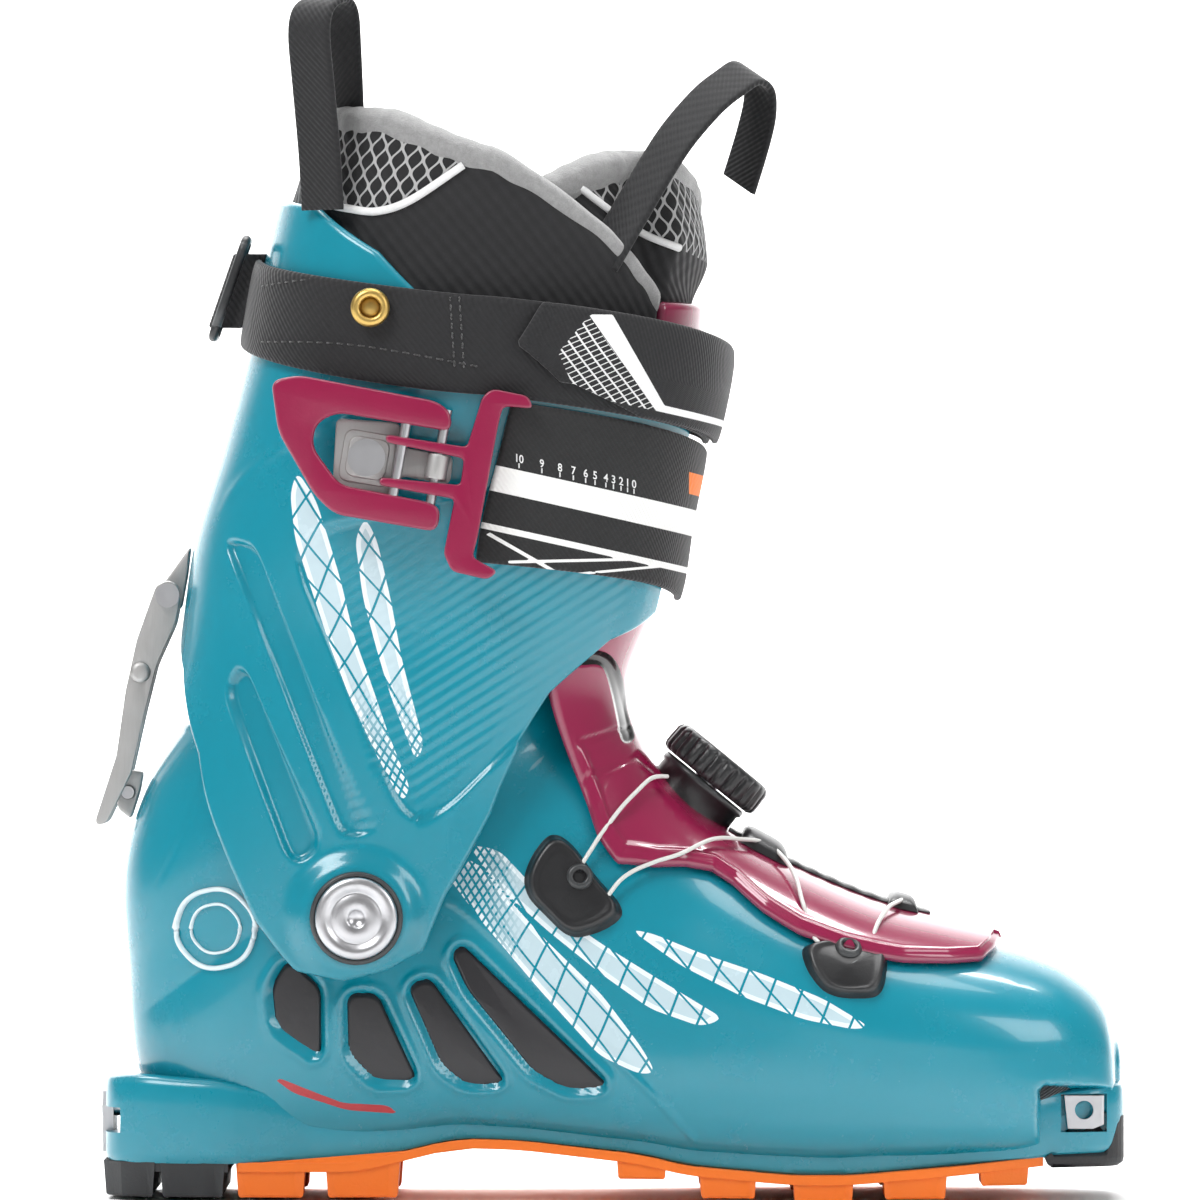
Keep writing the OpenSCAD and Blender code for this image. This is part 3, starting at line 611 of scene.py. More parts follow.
def metalMaterial(name, color, rough, brushed, brush=(1, 1, 40)):
    material, tree, shader = newMaterial(name)
    place = tree.nodes.new("ShaderNodeTexCoord").outputs["Object"]
    stretch = tree.nodes.new("ShaderNodeMapping")
    stretch.inputs["Scale"].default_value = brush
    tree.links.new(place, stretch.inputs["Vector"])
    streak = noiseNode(tree, 220, 4, 0.6, stretch.outputs[0])
    cloud = noiseNode(tree, 90, 3, 0.6, place)
    tree.links.new(blendColor(tree, cloud, tuple(c * 0.86 for c in color[:3]) + (1,), color),
                   shader.inputs["Base Color"])
    spread = calc(tree, "MULTIPLY_ADD", streak, brushed, calc(tree, "MULTIPLY_ADD", cloud, 0.12, rough),
                  clamp=True)
    tree.links.new(spread, shader.inputs["Roughness"])
    shader.inputs["Metallic"].default_value = 1
    linkBump(tree, shader, streak, 0.12 * (0.3 + brushed), 0.0004)
    return material


# Print in bands over the teal: net of lines inside, plain edge outside
def paintTeal(tree, color):
    place = placeInMm(tree)
    band = attributeNode(tree, "printBand")
    fine = attributeNode(tree, "printFine")
    wide = useGroup(tree, "net", Map=place, Spacing=8.5, Line=0.045, Lean_A=0.75, Lean_B=-0.55)["Lines"]
    small = useGroup(tree, "net", Map=place, Spacing=2.3, Line=0.17, Lean_A=0.75, Lean_B=-0.55)["Lines"]
    coarse = calc(tree, "MULTIPLY", wide, calc(tree, "SUBTRACT", 1.0, fine))
    lines = calc(tree, "ADD", coarse, calc(tree, "MULTIPLY", small, fine))
    inside = calc(tree, "LESS_THAN", band, 0.0)
    ink = calc(tree, "MULTIPLY", inside, calc(tree, "SUBTRACT", 1.0, lines))
    core = calc(tree, "LESS_THAN", band, -1.3)
    white = blendColor(tree, core, srgb(226, 236, 240), srgb(186, 208, 216))
    base = blendColor(tree, ink, color, white)
    return blendColor(tree, insideOf(tree, "accent"), base, srgb(170, 25, 32))


def clothMaterial(name, color, thread, depth, light=0.6, paint=None, rough=0.85):
    material, tree, shader = newMaterial(name)
    cloth = attributeNode(tree, "cloth", True)
    # light sets how strongly the weave's painted shade darkens the hollows between threads
    made = useGroup(tree, "weave", Map=cloth, Thread=thread, Color=color, Light=light)
    base = made["Color"] if paint is None else paint(tree, made["Color"], cloth)
    tree.links.new(base, shader.inputs["Base Color"])
    shader.inputs["Roughness"].default_value = rough
    shader.inputs["Sheen Weight"].default_value = 0.25
    shader.inputs["Sheen Roughness"].default_value = 0.4
    linkBump(tree, shader, made["Height"], 0.6, depth * mm)
    return material


# White lines and an orange end on the buckle strap
def paintStrap(tree, base, cloth):
    base = blendColor(tree, insideOf(tree, "printBand"), base, srgb(238, 238, 236))
    return blendColor(tree, insideOf(tree, "accent"), base, srgb(235, 120, 30))


# Print on the front pad: net beside a white stripe
def paintPad(tree, base, cloth):
    place = placeInMm(tree)
    net = useGroup(tree, "net", Map=place, Spacing=3.6, Line=0.09, Lean_A=0.62, Lean_B=-2.4)["Lines"]
    inside = insideOf(tree, "printFine")
    base = blendColor(tree, calc(tree, "MULTIPLY", net, inside), base, srgb(225, 225, 225))
    return blendColor(tree, insideOf(tree, "printBand"), base, srgb(240, 240, 240))


# Honeycomb spacer mesh: light threads in touching waves over black
def paintHoneycomb(tree, base, cloth):
    x, y, _ = splitVector(tree, cloth)
    wave = calc(tree, "MULTIPLY", calc(tree, "SINE", calc(tree, "MULTIPLY", y, 2 * math.pi / 7.2)), 0.22)
    lines = []
    for sign, shift in ((-1.0, 0.0), (1.0, 0.5)):
        run = calc(tree, "ADD", calc(tree, "ADD", calc(tree, "DIVIDE", x, 4.6), shift),
                   calc(tree, "MULTIPLY", wave, sign))
        lines.append(calc(tree, "ABSOLUTE", calc(tree, "SUBTRACT", calc(tree, "FRACT", run), 0.5)))
    thread = calc(tree, "LESS_THAN", calc(tree, "MINIMUM", *lines), 0.085)
    panel = insideOf(tree, "meshPanel")
    thread = calc(tree, "MULTIPLY", thread, panel)
    dark = blendColor(tree, panel, base, srgb(22, 22, 24))
    return blendColor(tree, thread, dark, srgb(165, 165, 165))


def feltMaterial(name, dark, light):
    material, tree, shader = newMaterial(name)
    mottle = noiseNode(tree, 420, 5, 0.75)
    fluff = noiseNode(tree, 2600, 3, 0.7)
    mix = calc(tree, "MULTIPLY", calc(tree, "ADD", mottle, calc(tree, "MULTIPLY", fluff, 0.6)), 0.68,
               clamp=True)
    tree.links.new(blendColor(tree, mix, dark, light), shader.inputs["Base Color"])
    shader.inputs["Roughness"].default_value = 0.95
    shader.inputs["Sheen Weight"].default_value = 0.6
    shader.inputs["Sheen Roughness"].default_value = 0.5
    linkBump(tree, shader, calc(tree, "ADD", fluff, mottle), 0.6, 0.0006)
    return material


# Groove down each side of the tongue, painted near-black as painted shade inside the groove
def paintSlotShade(tree, color):
    return blendColor(tree, insideOf(tree, "slot"), color, srgb(14, 12, 14))


tealColor = srgb(0, 130, 150)
materials = {
    "teal": plasticMaterial("tealShellPlastic", tealColor, 0.26, 0.5, 900, 0.05, 0.35, paintTeal),
    "tealBare": plasticMaterial("tealSolePlastic", tealColor, 0.28, 0.4, 900, 0.05, 0.35),
    "magenta": plasticMaterial("magentaTonguePlastic", srgb(138, 22, 66), 0.2, 0.7, 800, 0.04, 0.2,
                               paintSlotShade),
    "anodised": plasticMaterial("magentaAnodised", srgb(136, 12, 60), 0.34, 0.15, 1500, 0.1, 0.5),
    "orange": plasticMaterial("orangeLugRubber", srgb(236, 112, 14), 0.55, 0.0, 1200, 0.25, 0.1),
    "rubber": plasticMaterial("blackSoleRubber", srgb(34, 34, 36), 0.6, 0.0, 1200, 0.3, 0.15),
    "black": plasticMaterial("blackMouldedPlastic", srgb(26, 26, 28), 0.38, 0.1, 1400, 0.12, 0.25),
    "panel": plasticMaterial("blackWindowPanel", srgb(28, 26, 30), 0.32, 0.2, 700, 0.1, 0.1),
    "cream": plasticMaterial("bushPlastic", srgb(215, 210, 195), 0.5, 0.0, 900, 0.1, 0.1),
    "badge": plasticMaterial("badgeResin", srgb(214, 228, 233), 0.22, 0.6, 500, 0.02, 0.1),
    "steel": metalMaterial("turnedSteel", srgb(205, 205, 208), 0.2, 0.18, (1, 1, 1)),
    "brushed": metalMaterial("brushedSteel", srgb(188, 187, 186), 0.3, 0.35, (8, 8, 0.6)),
    "brass": metalMaterial("brassEyelet", srgb(214, 180, 105), 0.24, 0.2, (1, 1, 1)),
    "webbing": clothMaterial("twillWebbing", srgb(30, 30, 32), 0.9, 0.35),
    "strap": clothMaterial("printedWebbing", srgb(36, 36, 37), 0.75, 0.3, paint=paintStrap),
    "pad": clothMaterial("printedPadFabric", srgb(32, 32, 34), 0.65, 0.25, paint=paintPad),
    "knit": clothMaterial("linerKnit", srgb(27, 27, 29), 1.9, 0.7, 0.9, paint=paintHoneycomb),
    "foam": feltMaterial("footbedFoam", srgb(50, 50, 54), srgb(96, 96, 100)),
    "felt": feltMaterial("feltBinding", srgb(88, 88, 88), srgb(176, 176, 176)),
    "piping": feltMaterial("whitePiping", srgb(212, 212, 212), srgb(250, 250, 250)),
    "thread": feltMaterial("blackStitching", srgb(16, 16, 16), srgb(60, 60, 60)),
    "cable": plasticMaterial("coatedCable", srgb(214, 214, 210), 0.3, 0.3, 3000, 0.3, 0.1)}
print("materials built")

# Camera, floor and light
view = {"distance": 3.0, "centre": (-0.0025, 0.1677), "lens": 319.4, "lightScale": 0.62}
camera = bpy.data.objects.new("camera", bpy.data.cameras.new("camera"))
bpy.context.scene.collection.objects.link(camera)
camera.location = (view["centre"][0], -view["distance"], view["centre"][1])
camera.rotation_euler = (math.pi / 2, 0, 0)
camera.data.lens, camera.data.sensor_width = view["lens"], 36
camera.data.clip_start, camera.data.clip_end = 0.1, 30
bpy.context.scene.camera = camera
bpy.context.scene.view_settings.view_transform = "Standard"


# Floor that curves up into the backdrop
def addFloor():
    turn = np.radians(np.linspace(0, 90, 40))
    profile = [(-3500, 0)] + [(400 + 2600 * math.sin(t), 2600 - 2600 * math.cos(t)) for t in turn] + [(3000,
                                                                                                       5000)]
    points = [(x, y, z) for y, z in profile for x in (-4000, 4000)]
    floor = addObject("studioFloor", points, gridFaces(len(profile), 2, False))
    material, _, shader = newMaterial("paleFloor")
    shader.inputs["Base Color"].default_value = (0.97, 0.97, 0.97, 1)
    shader.inputs["Roughness"].default_value = 0.7
    floor.data.materials.append(material)


def addLight(name, place, size, power, target=(0, 0, 0.16), color=(1, 1, 1)):
    lamp = bpy.data.lights.new(name, "AREA")
    lamp.shape, lamp.size, lamp.size_y = "RECTANGLE", size[0], size[1]
    lamp.energy, lamp.color = power * view["lightScale"], color
    obj = bpy.data.objects.new(name, lamp)
    bpy.context.scene.collection.objects.link(obj)
    obj.location = place
    obj.rotation_euler = (Vector(target) - Vector(place)).to_track_quat("-Z", "Y").to_euler()


addFloor()
addLight("keySoftbox", (-0.9, -1.0, 1.5), (0.8, 0.8), 36)
addLight("fillSoftbox", (1.3, -1.1, 0.9), (0.6, 0.9), 14)
addLight("topSoftbox", (0.1, 0.1, 1.6), (1.2, 0.8), 24)
addLight("rearSoftbox", (-0.3, 1.2, 0.9), (1.2, 0.8), 10)
addLight("backdropLight", (0, 0.9, 2.4), (2.4, 0.6), 190, (0, 2.8, 0.4))
world = bpy.data.worlds.new("studioWorld")
world.use_nodes = True
world.node_tree.nodes["Background"].inputs[0].default_value = (1, 1, 1, 1)
world.node_tree.nodes["Background"].inputs[1].default_value = 0.26
bpy.context.scene.world = world
print("studio ready")


# Lower shell
shell = {
    "rows": 430, "quarter": 78, "wall": 4, "windowDepth": 2.6, "windowRim": 0.6,
    "noseBulge": 2.2, "noseCentre": (142, 0, 36.5), "noseTurns": [84, 70, 56, 42, 28, 14],
    "sideTop": 34, "sideFoot": 12.2,
    "windows": [[(-93.5, 60), (-89.3, 66.5), (-81.2, 59.5), (-81.2, 41), (-92.5, 49.5)],
                [(-72.3, 57), (-64.8, 57), (-54.5, 34.2), (-65.2, 34.2), (-72, 41.5)],
                [(-55.2, 59.5), (-49.9, 61.4), (-29.9, 33.3), (-38.9, 32.4), (-46.2, 38.3)],
                [(-42.8, 68.5), (-40.6, 70.7), (-1.4, 32.4), (-11.3, 31.3), (-21, 37), (-38.5, 59)]],
    "ridge": [(-47, 86), (-32.4, 74.7), (8.7, 33.5), (23.7, 19.4)],
    "parting": [(-112.3, 118.1), (-120.7, 98.8), (-127.7, 84.9), (-130.4, 76.4), (-130.4, 66.3), (-126.5, 52),
                (-122.6, 43.7), (-123.5, 35.8)],
    "marks": [[(-120.6, 116.9), (-116.6, 116.9)], [(-118.6, 114.9), (-118.6, 118.9)],
              [(-126.4, 103.4), (-122.8, 102.4)]],
    "bands": [[(-45, 96), (-38, 95.5), (-18, 73.5), (-2, 58), (9, 43.5), (13, 36.5), (8.5, 36), (-2.5, 41),
               (-19, 59),
               (-36, 79), (-45, 91)],
              [(-39.2, 99.6), (-30.7, 98.2), (-13.8, 80.3), (-2.5, 72.4), (14.4, 62), (31.8, 51.6),
               (25.6, 49.3),
               (11.6, 54.1), (-2.5, 64), (-17.5, 76.1), (-30.7, 88)],
              [(5.9, 76.1), (11.6, 75.2), (25.6, 69.6), (42.6, 64), (59.5, 57.2), (72.1, 49.6), (67.9, 48.8),
               (53.8, 51.6),
               (36.9, 57.8), (20, 66.2)]],
    "accent": [(-97, 37.2), (-88, 30.4), (-73, 25.6), (-58.5, 24.6), (-61.5, 27), (-74, 27.6), (-87, 32.6)],
    "bottom": [(-141, 10.6), (-70, 10.6), (-56, 14), (-42.5, 17.3), (-25, 16.8), (8.7, 13), (21.7, 9.9),
               (51.8, 7.5),
               (65, 7.5), (94.5, 9.9), (123.6, 12.6), (144, 14)],
    "badge": (-109.6, 76.1), "badgeRadius": 12.6}


def bottomHeight(x):
    path = np.array(shell["bottom"], float)
    soft = [np.interp(np.asarray(x) + step, path[:, 0], path[:, 1]) for step in (-5, -2.5, 0, 2.5, 5)]
    return np.mean(soft, axis=0)


# The sides run straight down to the sole's curved upper edge
def toSole(points):
    made = points.copy()
    low = bottomHeight(points[..., 0])
    top, foot = shell["sideTop"], shell["sideFoot"]
    share = np.clip((points[..., 2] - foot) / (top - foot), None, 1)
    made[..., 2] = np.where(points[..., 2] < top, low + share * (top - low), points[..., 2])
    above = ease((made[..., 2] - 31) / 5)
    room = np.interp(points[..., 0], [116, 121], [60, 31.5]) - np.clip((points[..., 0] - 121) * 0.19, 0, 9)
    room = room + above * 30
    made[..., 1] = np.clip(made[..., 1], -room, room)
    made[..., 0] = np.where(made[..., 2] < 36, np.minimum(made[..., 0], 140.5 + above * 6), made[..., 0])
    return made


# Height of the windows, ridges and part lines on the shell's sides
def shellRelief(x, z):
    relief = np.zeros(x.shape)
    for window in shell["windows"]:
        d = outlineDistance(x, z, softened(window, 3))
        relief -= shell["windowDepth"] * ease((2.3 - d) / 1.6)
        relief += shell["windowRim"] * np.exp(-((d - 3.2) / 0.9) ** 2)
    relief += 0.55 * np.exp(-(pathDistance(x, z, smoothPath(shell["ridge"], 6)) / 0.75) ** 2)
    relief -= 0.45 * np.exp(-(pathDistance(x, z, smoothPath(shell["parting"], 6)) / 0.5) ** 2)
    for mark in shell["marks"]:
        relief += 0.35 * np.exp(-(pathDistance(x, z, mark) / 0.55) ** 2)
    return relief


# Stores how far each point lies from the printed shapes
def printedBands(obj, bands, accents, fine):
    x, y, z = pointsOf(obj).T
    band = np.min([outlineDistance(x, z, softened(b, 3)) for b in bands], axis=0)
    accent = np.min([outlineDistance(x, z, softened(b, 2)) for b in accents] + [np.full(x.shape, 50)], axis=0)
    addValues(obj, "printBand", band)
    addValues(obj, "accent", np.where(y < 0, accent, 50))
    addValues(obj, "printFine", fine(x, z))


# The foot form with a squarer heel, for the shell
def squareFoot():
    form = dict(footForm)
    form["backPower"] = [4.4, 4.4, 2.3, 2.1]
    return form


def addShell():
    form = squareFoot()
    us = evenStations(form, 0, 16, shell["rows"])
    quarter = shell["quarter"]
    angles = evenAngles(form, us, (0, 90, 180, 270, 360), (quarter, quarter, quarter, quarter))
    base = formPoints(form, us[:, None], angles)
    wide = formPoints(form, us[:, None], angles, 1)
    relief = shellRelief(base[..., 0], base[..., 2]) * ease((np.abs(base[..., 1]) - 22) / 8)
    outer = toSole(base + (wide - base) * relief[..., None])
    inner = toSole(formPoints(form, us[:, None] * 1.005 + 0.3 * (us[:, None] < 1), angles, -shell["wall"]))
    centre = np.array(shell["noseCentre"])
    nose = []
    for turn in np.radians(shell["noseTurns"]):
        ring = centre + (outer[0] - centre) * (0.35 + 0.65 * math.cos(turn))
        ring[:, 0] = outer[0][:, 0] + shell["noseBulge"] * math.sin(turn)
        nose.append(ring)
    inside = [inner[0] + (centre - inner[0]) * share for share in (0.6, 0.5, 0.4, 0.3, 0.2, 0.1)]
    outer = np.concatenate([np.array(nose), outer])
    inner = np.concatenate([np.array(inside), inner])
    obj = addSheet("shell_body", outer, inner, wrap=True, closedStart=True)
    printedBands(obj, shell["bands"], [shell["accent"]], lambda x, z: ease((-22 - x) / 14))
    return finishPiece(obj, "shell", materials["teal"], "shell_plastic", "lower_shell")


shellBody = addShell()
rings = np.linspace(0, 16, 170)
formAngles = evenAngles(squareFoot(), rings, (0, 90, 180, 270, 360), (40, 40, 40, 40))
formSkin = toSole(formPoints(squareFoot(), rings[:, None], formAngles))
footTree = treeOf(formSkin.reshape(-1, 3), gridFaces(len(rings), 160, True))
print("shell body", len(shellBody.data.vertices))


# Sole rand and outsole
sole = {
    "half": [(-141, 0), (-141, 20), (-137, 27), (-128, 32), (-112, 35), (-90, 36), (-60, 35.5), (-30, 35.5),
             (0, 37.5),
             (25, 42), (50, 47), (75, 48.5), (95, 46), (112, 40), (124, 34.5), (133, 32.5), (139, 30),
             (144, 24), (144.5, 0)],
    "top": [(-143, 34.8), (-132, 35), (-110, 33.5), (-96, 31), (-80, 26), (90, 26), (112, 27), (122, 30.5),
            (145, 33)],
    "inset": [(-145, 0), (-104, 0), (-84, 4), (96, 4), (118, 0), (146, 0)],
    "randRings": [(0, 6), (0, 1.2), (0.05, 0.25), (0.12, 0), (0.4, 0), (0.7, 0), (0.9, 0.15), (0.96, 0.6),
                  (1, 1.8),
                  (1.02, 4), (1.0, 9)],
    "sheet": 2.3, "sheetEnds": (-106, 122.5), "heelGap": (-126.6, -125.2), "heelSlab": (8.2, 11.4),
    "toeRings": [(1.6, 9.6, 0), (0.2, 10.6, 0), (-0.1, 12, 0), (-0.1, 12.6, 11), (1.2, 13.6, 12.4),
                 (3.0, 13.6, 12.4)],
    "lugs": [(-104, -84.5, 1.2), (-79, -58, 1.2), (2, 16, 6.5), (25, 41, 1.4), (51, 68, 0), (76, 94, 1.4),
             (103, 117, 4.8)],
    "heel": (-141.5, -107, 1.2), "toe": 121.7}


def halfWidth(x, inset=0):
    side = np.array(sole["half"][1:-1], float)
    return np.interp(x, side[:, 0], side[:, 1]) - inset


# One loop of the sole's plan
def planLoop(count):
    half = np.array(sole["half"], float)
    loop = np.concatenate([half, half[-2:0:-1] * (1, -1)])
    soft = softened(loop, 5, 6)
    run = runAlong(np.vstack([soft, soft[:1]]))
    goal = np.linspace(0, run[-1], count, endpoint=False)
    return np.stack([np.interp(goal, run, np.append(soft[:, k], soft[0, k])) for k in (0, 1)], 1)


def loopArea(plan):
    x, y = plan.T
    return 0.5 * np.sum(x * np.roll(y, -1) - y * np.roll(x, -1))


# Shrinks a plan loop towards the boot's centre line by a distance that may vary
def shrunk(plan, inset):
    way = np.roll(plan, -1, 0) - np.roll(plan, 1, 0)
    way /= np.linalg.norm(way, axis=1, keepdims=True)
    normal = np.stack([way[:, 1], -way[:, 0]], 1) * np.sign(loopArea(plan))
    return plan - normal * np.asarray(inset)[..., None]


def addRand():
    plan = planLoop(420)
    inset = np.interp(plan[:, 0], *np.array(sole["inset"], float).T)
    top = np.interp(plan[:, 0], *np.array(sole["top"], float).T)
    low = bottomHeight(plan[:, 0])
    rings = []
    for share, tuck in sole["randRings"]:
        ring = shrunk(plan, inset + tuck)
        rings.append(np.column_stack([ring, low + share * (top - low)]))
    rings = np.array(rings)
    obj = addObject("sole_rand", rings.reshape(-1, 3), cappedFaces(len(rings), len(plan)))
    notches = [boxAt((-140, 0, 22.4), (7, 80, 7))]
    notches += [boxAt((132.4, side * 34, 24.7), (13, 17, 10.6)) for side in (-1, 1)]
    cutAway(obj, joinObjects("randCutter", notches))
    smoothByAngle(obj, 35)
    addBevel(obj, 0.5, 2, 50)
    return finishPiece(obj, "shell", materials["tealBare"], "shell_plastic", "lower_shell")


def boxAt(centre, size):
    signs = np.array([(x, y, z) for x in (-1, 1) for y in (-1, 1) for z in (-1, 1)], float)
    points = np.array(centre) + signs * np.array(size) / 2
    faces = [[0, 1, 3, 2], [4, 6, 7, 5], [0, 4, 5, 1], [2, 3, 7, 6], [0, 2, 6, 4], [1, 5, 7, 3]]
    return addObject("block", points, faces, False)


def cutAway(obj, cutter):
    modifier = obj.modifiers.new("cut", "BOOLEAN")
    modifier.object, modifier.operation, modifier.solver = cutter, "DIFFERENCE", "EXACT"
    made = evaluatedMesh(obj)
    obj.modifiers.clear()
    obj.data = made
    bpy.data.objects.remove(cutter)


# A tread block: plan outline, tapering towards the ground, with its top following the sole
def addBlock(name, plan, low, topOf, draft=0.08, round=0.7):
    plan = np.asarray(plan, float)
    if loopArea(plan) < 0:
        plan = plan[::-1]
    top = topOf(plan[:, 0])
    tall = top - low
    rings = [np.column_stack([plan, top])]
    for tuck, lift in ((draft * np.maximum(tall - round, 0), round), (draft * tall + round * 0.35,
                                                                      round * 0.3),
                       (draft * tall + round, 0)):
        rings.append(np.column_stack([shrunk(plan, tuck), top * 0 + low + lift]))
    return addObject(name, np.concatenate(rings), cappedFaces(len(rings), len(plan)), False)


# Upright slab over a plan, between two heights
def addSlab(name, plan, low, high):
    rings = [np.column_stack([plan, np.broadcast_to(z, len(plan))]) for z in (low, high)]
    return addObject(name, np.concatenate(rings), cappedFaces(2, len(plan)), False)


# Plan of a lug beside the sole's edge, with a notch on its inner side if asked
def lugPlan(x0, x1, inner, outerInset, side, sipe):
    xs = np.linspace(x0, x1, 7)
    outer = [(x, side * halfWidth(x, outerInset)) for x in xs]
    inside = [(x, side * inner) for x in xs[::-1]]
    if sipe:
        middle = (x0 + x1) / 2
        inside[2:5] = [(middle + 1.3, side * inner), (middle, side * (inner + 7)),
                       (middle - 1.3, side * inner)]
    return outer + inside


def addSole():
    def under(x):
        return bottomHeight(x) + 0.4

    parts = []
    for x0, x1, low in sole["lugs"]:
        for side in (-1, 1):
            width = float(halfWidth((x0 + x1) / 2))
            split = 4 + 0.46 * (width - 4)
            parts.append(addBlock("lug", lugPlan(x0, x1, split + 1.6, 1.4, side, True), low, under))
            near, far = side * 2.2, side * (split - 1.6)
            inner = [(x0 + 2.32, near), (x1 - 2.32, near), (x1 - 3.32, far), (x0 + 3.32, far)]
            parts.append(addBlock("lug", inner, low, under))
    back, front = sole["sheetEnds"]
    plan = shrunk(planLoop(260), np.full(260, 1.0))
    plan = plan[(plan[:, 0] > back) & (plan[:, 0] < front)]
    plan = plan[np.lexsort((plan[:, 0] * np.where(plan[:, 1] < 0, 1, -1), plan[:, 1] > 0))]
    edge = bottomHeight(plan[:, 0])
    parts.append(addSlab("treadSheet", plan, edge - sole["sheet"], edge + 0.3))
    obj = joinObjects("outsole_tread", parts)
    addBevel(obj, 0.35, 2, 40)
    finishPiece(obj, "shell", materials["orange"], "orange_rubber", "outsole")

    x0, x1, low = sole["heel"]
    heel = []
    for a, b in ((x0, sole["heelGap"][0]), (sole["heelGap"][1], x1)):
        for side in (-1, 1):
            heel.append(addBlock("heelBlock", lugPlan(a, b, 1.2, 1.2, side, b == x1), low, under))
    slab = shrunk(planLoop(260), np.full(260, 1.4))
    slab = slab[slab[:, 0] < -104.5]
    slab = slab[np.argsort(np.arctan2(slab[:, 1], slab[:, 0] + 112))]
    heel.append(addSlab("heelSlab", slab, *sole["heelSlab"]))
    obj = joinObjects("heel_block", heel)
    addBevel(obj, 0.6, 2, 40)
    finishPiece(obj, "shell", materials["rubber"], "black_rubber", "heel_tread")

    plan = planLoop(300)
    plan = plan[plan[:, 0] > sole["toe"]]
    plan = plan[np.argsort(np.arctan2(plan[:, 1], plan[:, 0] - 118))]
    rise = ease((plan[:, 0] - 138.5) / 5)
    rings = []
    for tuck, height, climb in sole["toeRings"]:
        ring = np.column_stack([shrunk(plan, np.full(len(plan), tuck)), height + climb * rise])
        ring[:, 0] = np.minimum(ring[:, 0], 144.6)
        rings.append(ring)
    obj = addObject("toe_rubber", np.concatenate(rings), cappedFaces(len(rings), len(plan)), False)
    addBevel(obj, 0.6, 3, 40)
    finishPiece(obj, "shell", materials["rubber"], "black_rubber", "toe_bumper")


addRand()
addSole()
print("sole built")

# Cuff
cuff = {
    "low": [(20, 3.98), (38, 3.66), (53, 3), (60, 2.35), (66, 1.7), (77, 0.95), (82, 0.5), (94, 0.3),
            (102, 0.4), (110, 0.8),
            (120, 1.6), (135, 2.7), (150, 3.4), (160, 3.85), (180, 4.35)],
    "high": [(20, 6.1), (58, 6.5), (88, 7), (100, 7.45), (115, 8.05), (140, 8.6), (180, 8.8)],
    "rows": 300, "columns": 460, "wall": 3, "bossRadius": 13.5, "bossFace": 50.75,
    "eye": [(0, 43.4), (13.4, 43.4), (14.2, 44.2), (14.2, 49.9), (13.6, 50.7), (0, 50.7)],
    "pocket": [(-102.3, 149.9), (-107.1, 142.9), (-87.9, 93.8), (-80, 99.8)],
    "channel": [(-107.4, 184.6), (-98.9, 182.9), (-66.8, 102.3), (-74.1, 102.6)],
    "front": [(-90.5, 184.6), (-56.6, 106), (-46, 108), (-30.4, 123.7), (10, 160), (20, 190), (-30, 200)],
    "crease": [(-114.4, 188), (-91.3, 209.9), (-47.6, 229.9), (-20, 236)],
    "bands": [[(-86.5, 203.5), (-81.4, 195.8), (-77.8, 184.6), (-74.4, 173), (-71, 158.4), (-65.9, 144.3),
               (-61.2, 130.5),
               (-55, 115), (-57.5, 111.6), (-64.3, 124.3), (-72.1, 141.2), (-77.5, 155.3), (-82.8, 171.3),
               (-87.1, 184.6),
               (-88.5, 197.5)],
              [(-67.6, 190.8), (-64.4, 184.6), (-60.6, 168.2), (-57.5, 151.3), (-51.3, 127.4),
               (-53.5, 122.9), (-60.6, 141.2),
               (-64.3, 153.6), (-68.2, 168.2), (-70.4, 184.6)]]}


# Reads a table kept for one side at an angle on either side
def folded(a, table):
    table = np.array(table, float)
    return np.interp(np.where(a > 180, 360 - a, np.abs(a)), table[:, 0], table[:, 1])


# Grid of points between two edges given by angle, with their stations and angles
def strapGrid(form, angles, low, high, rows, d):
    a = np.broadcast_to(angles[None, :], (rows, len(angles)))
    t = np.linspace(0, 1, rows)[:, None]
    u = folded(a, low) * (1 - t) + folded(a, high) * t
    return formPoints(form, u, a, d), u, a


# Pockets, crease and fine ribs on the cuff's sides
def cuffRelief(x, z):
    relief = -2.6 * ease((1.0 - outlineDistance(x, z, softened(cuff["pocket"], 6))) / 1.8)
    relief -= 1.7 * ease((0.6 - outlineDistance(x, z, softened(cuff["channel"], 4))) / 1.2)
    relief -= 1.3 * ease((0.6 - outlineDistance(x, z, softened(cuff["front"], 14))) / 1.4)
    relief += 0.5 * np.exp(-(pathDistance(x, z, smoothPath(cuff["crease"], 6)) / 1.6) ** 2)
    rib = 0.5 + 0.5 * np.cos(2 * np.pi * (x * 0.53 - z * 0.85) / 3.1)
    field = ease((-outlineDistance(x, z, np.array(cuff["front"], float)) - 3) / 5) * ease((196 - z) / 20)
    return relief - 0.12 * rib * field


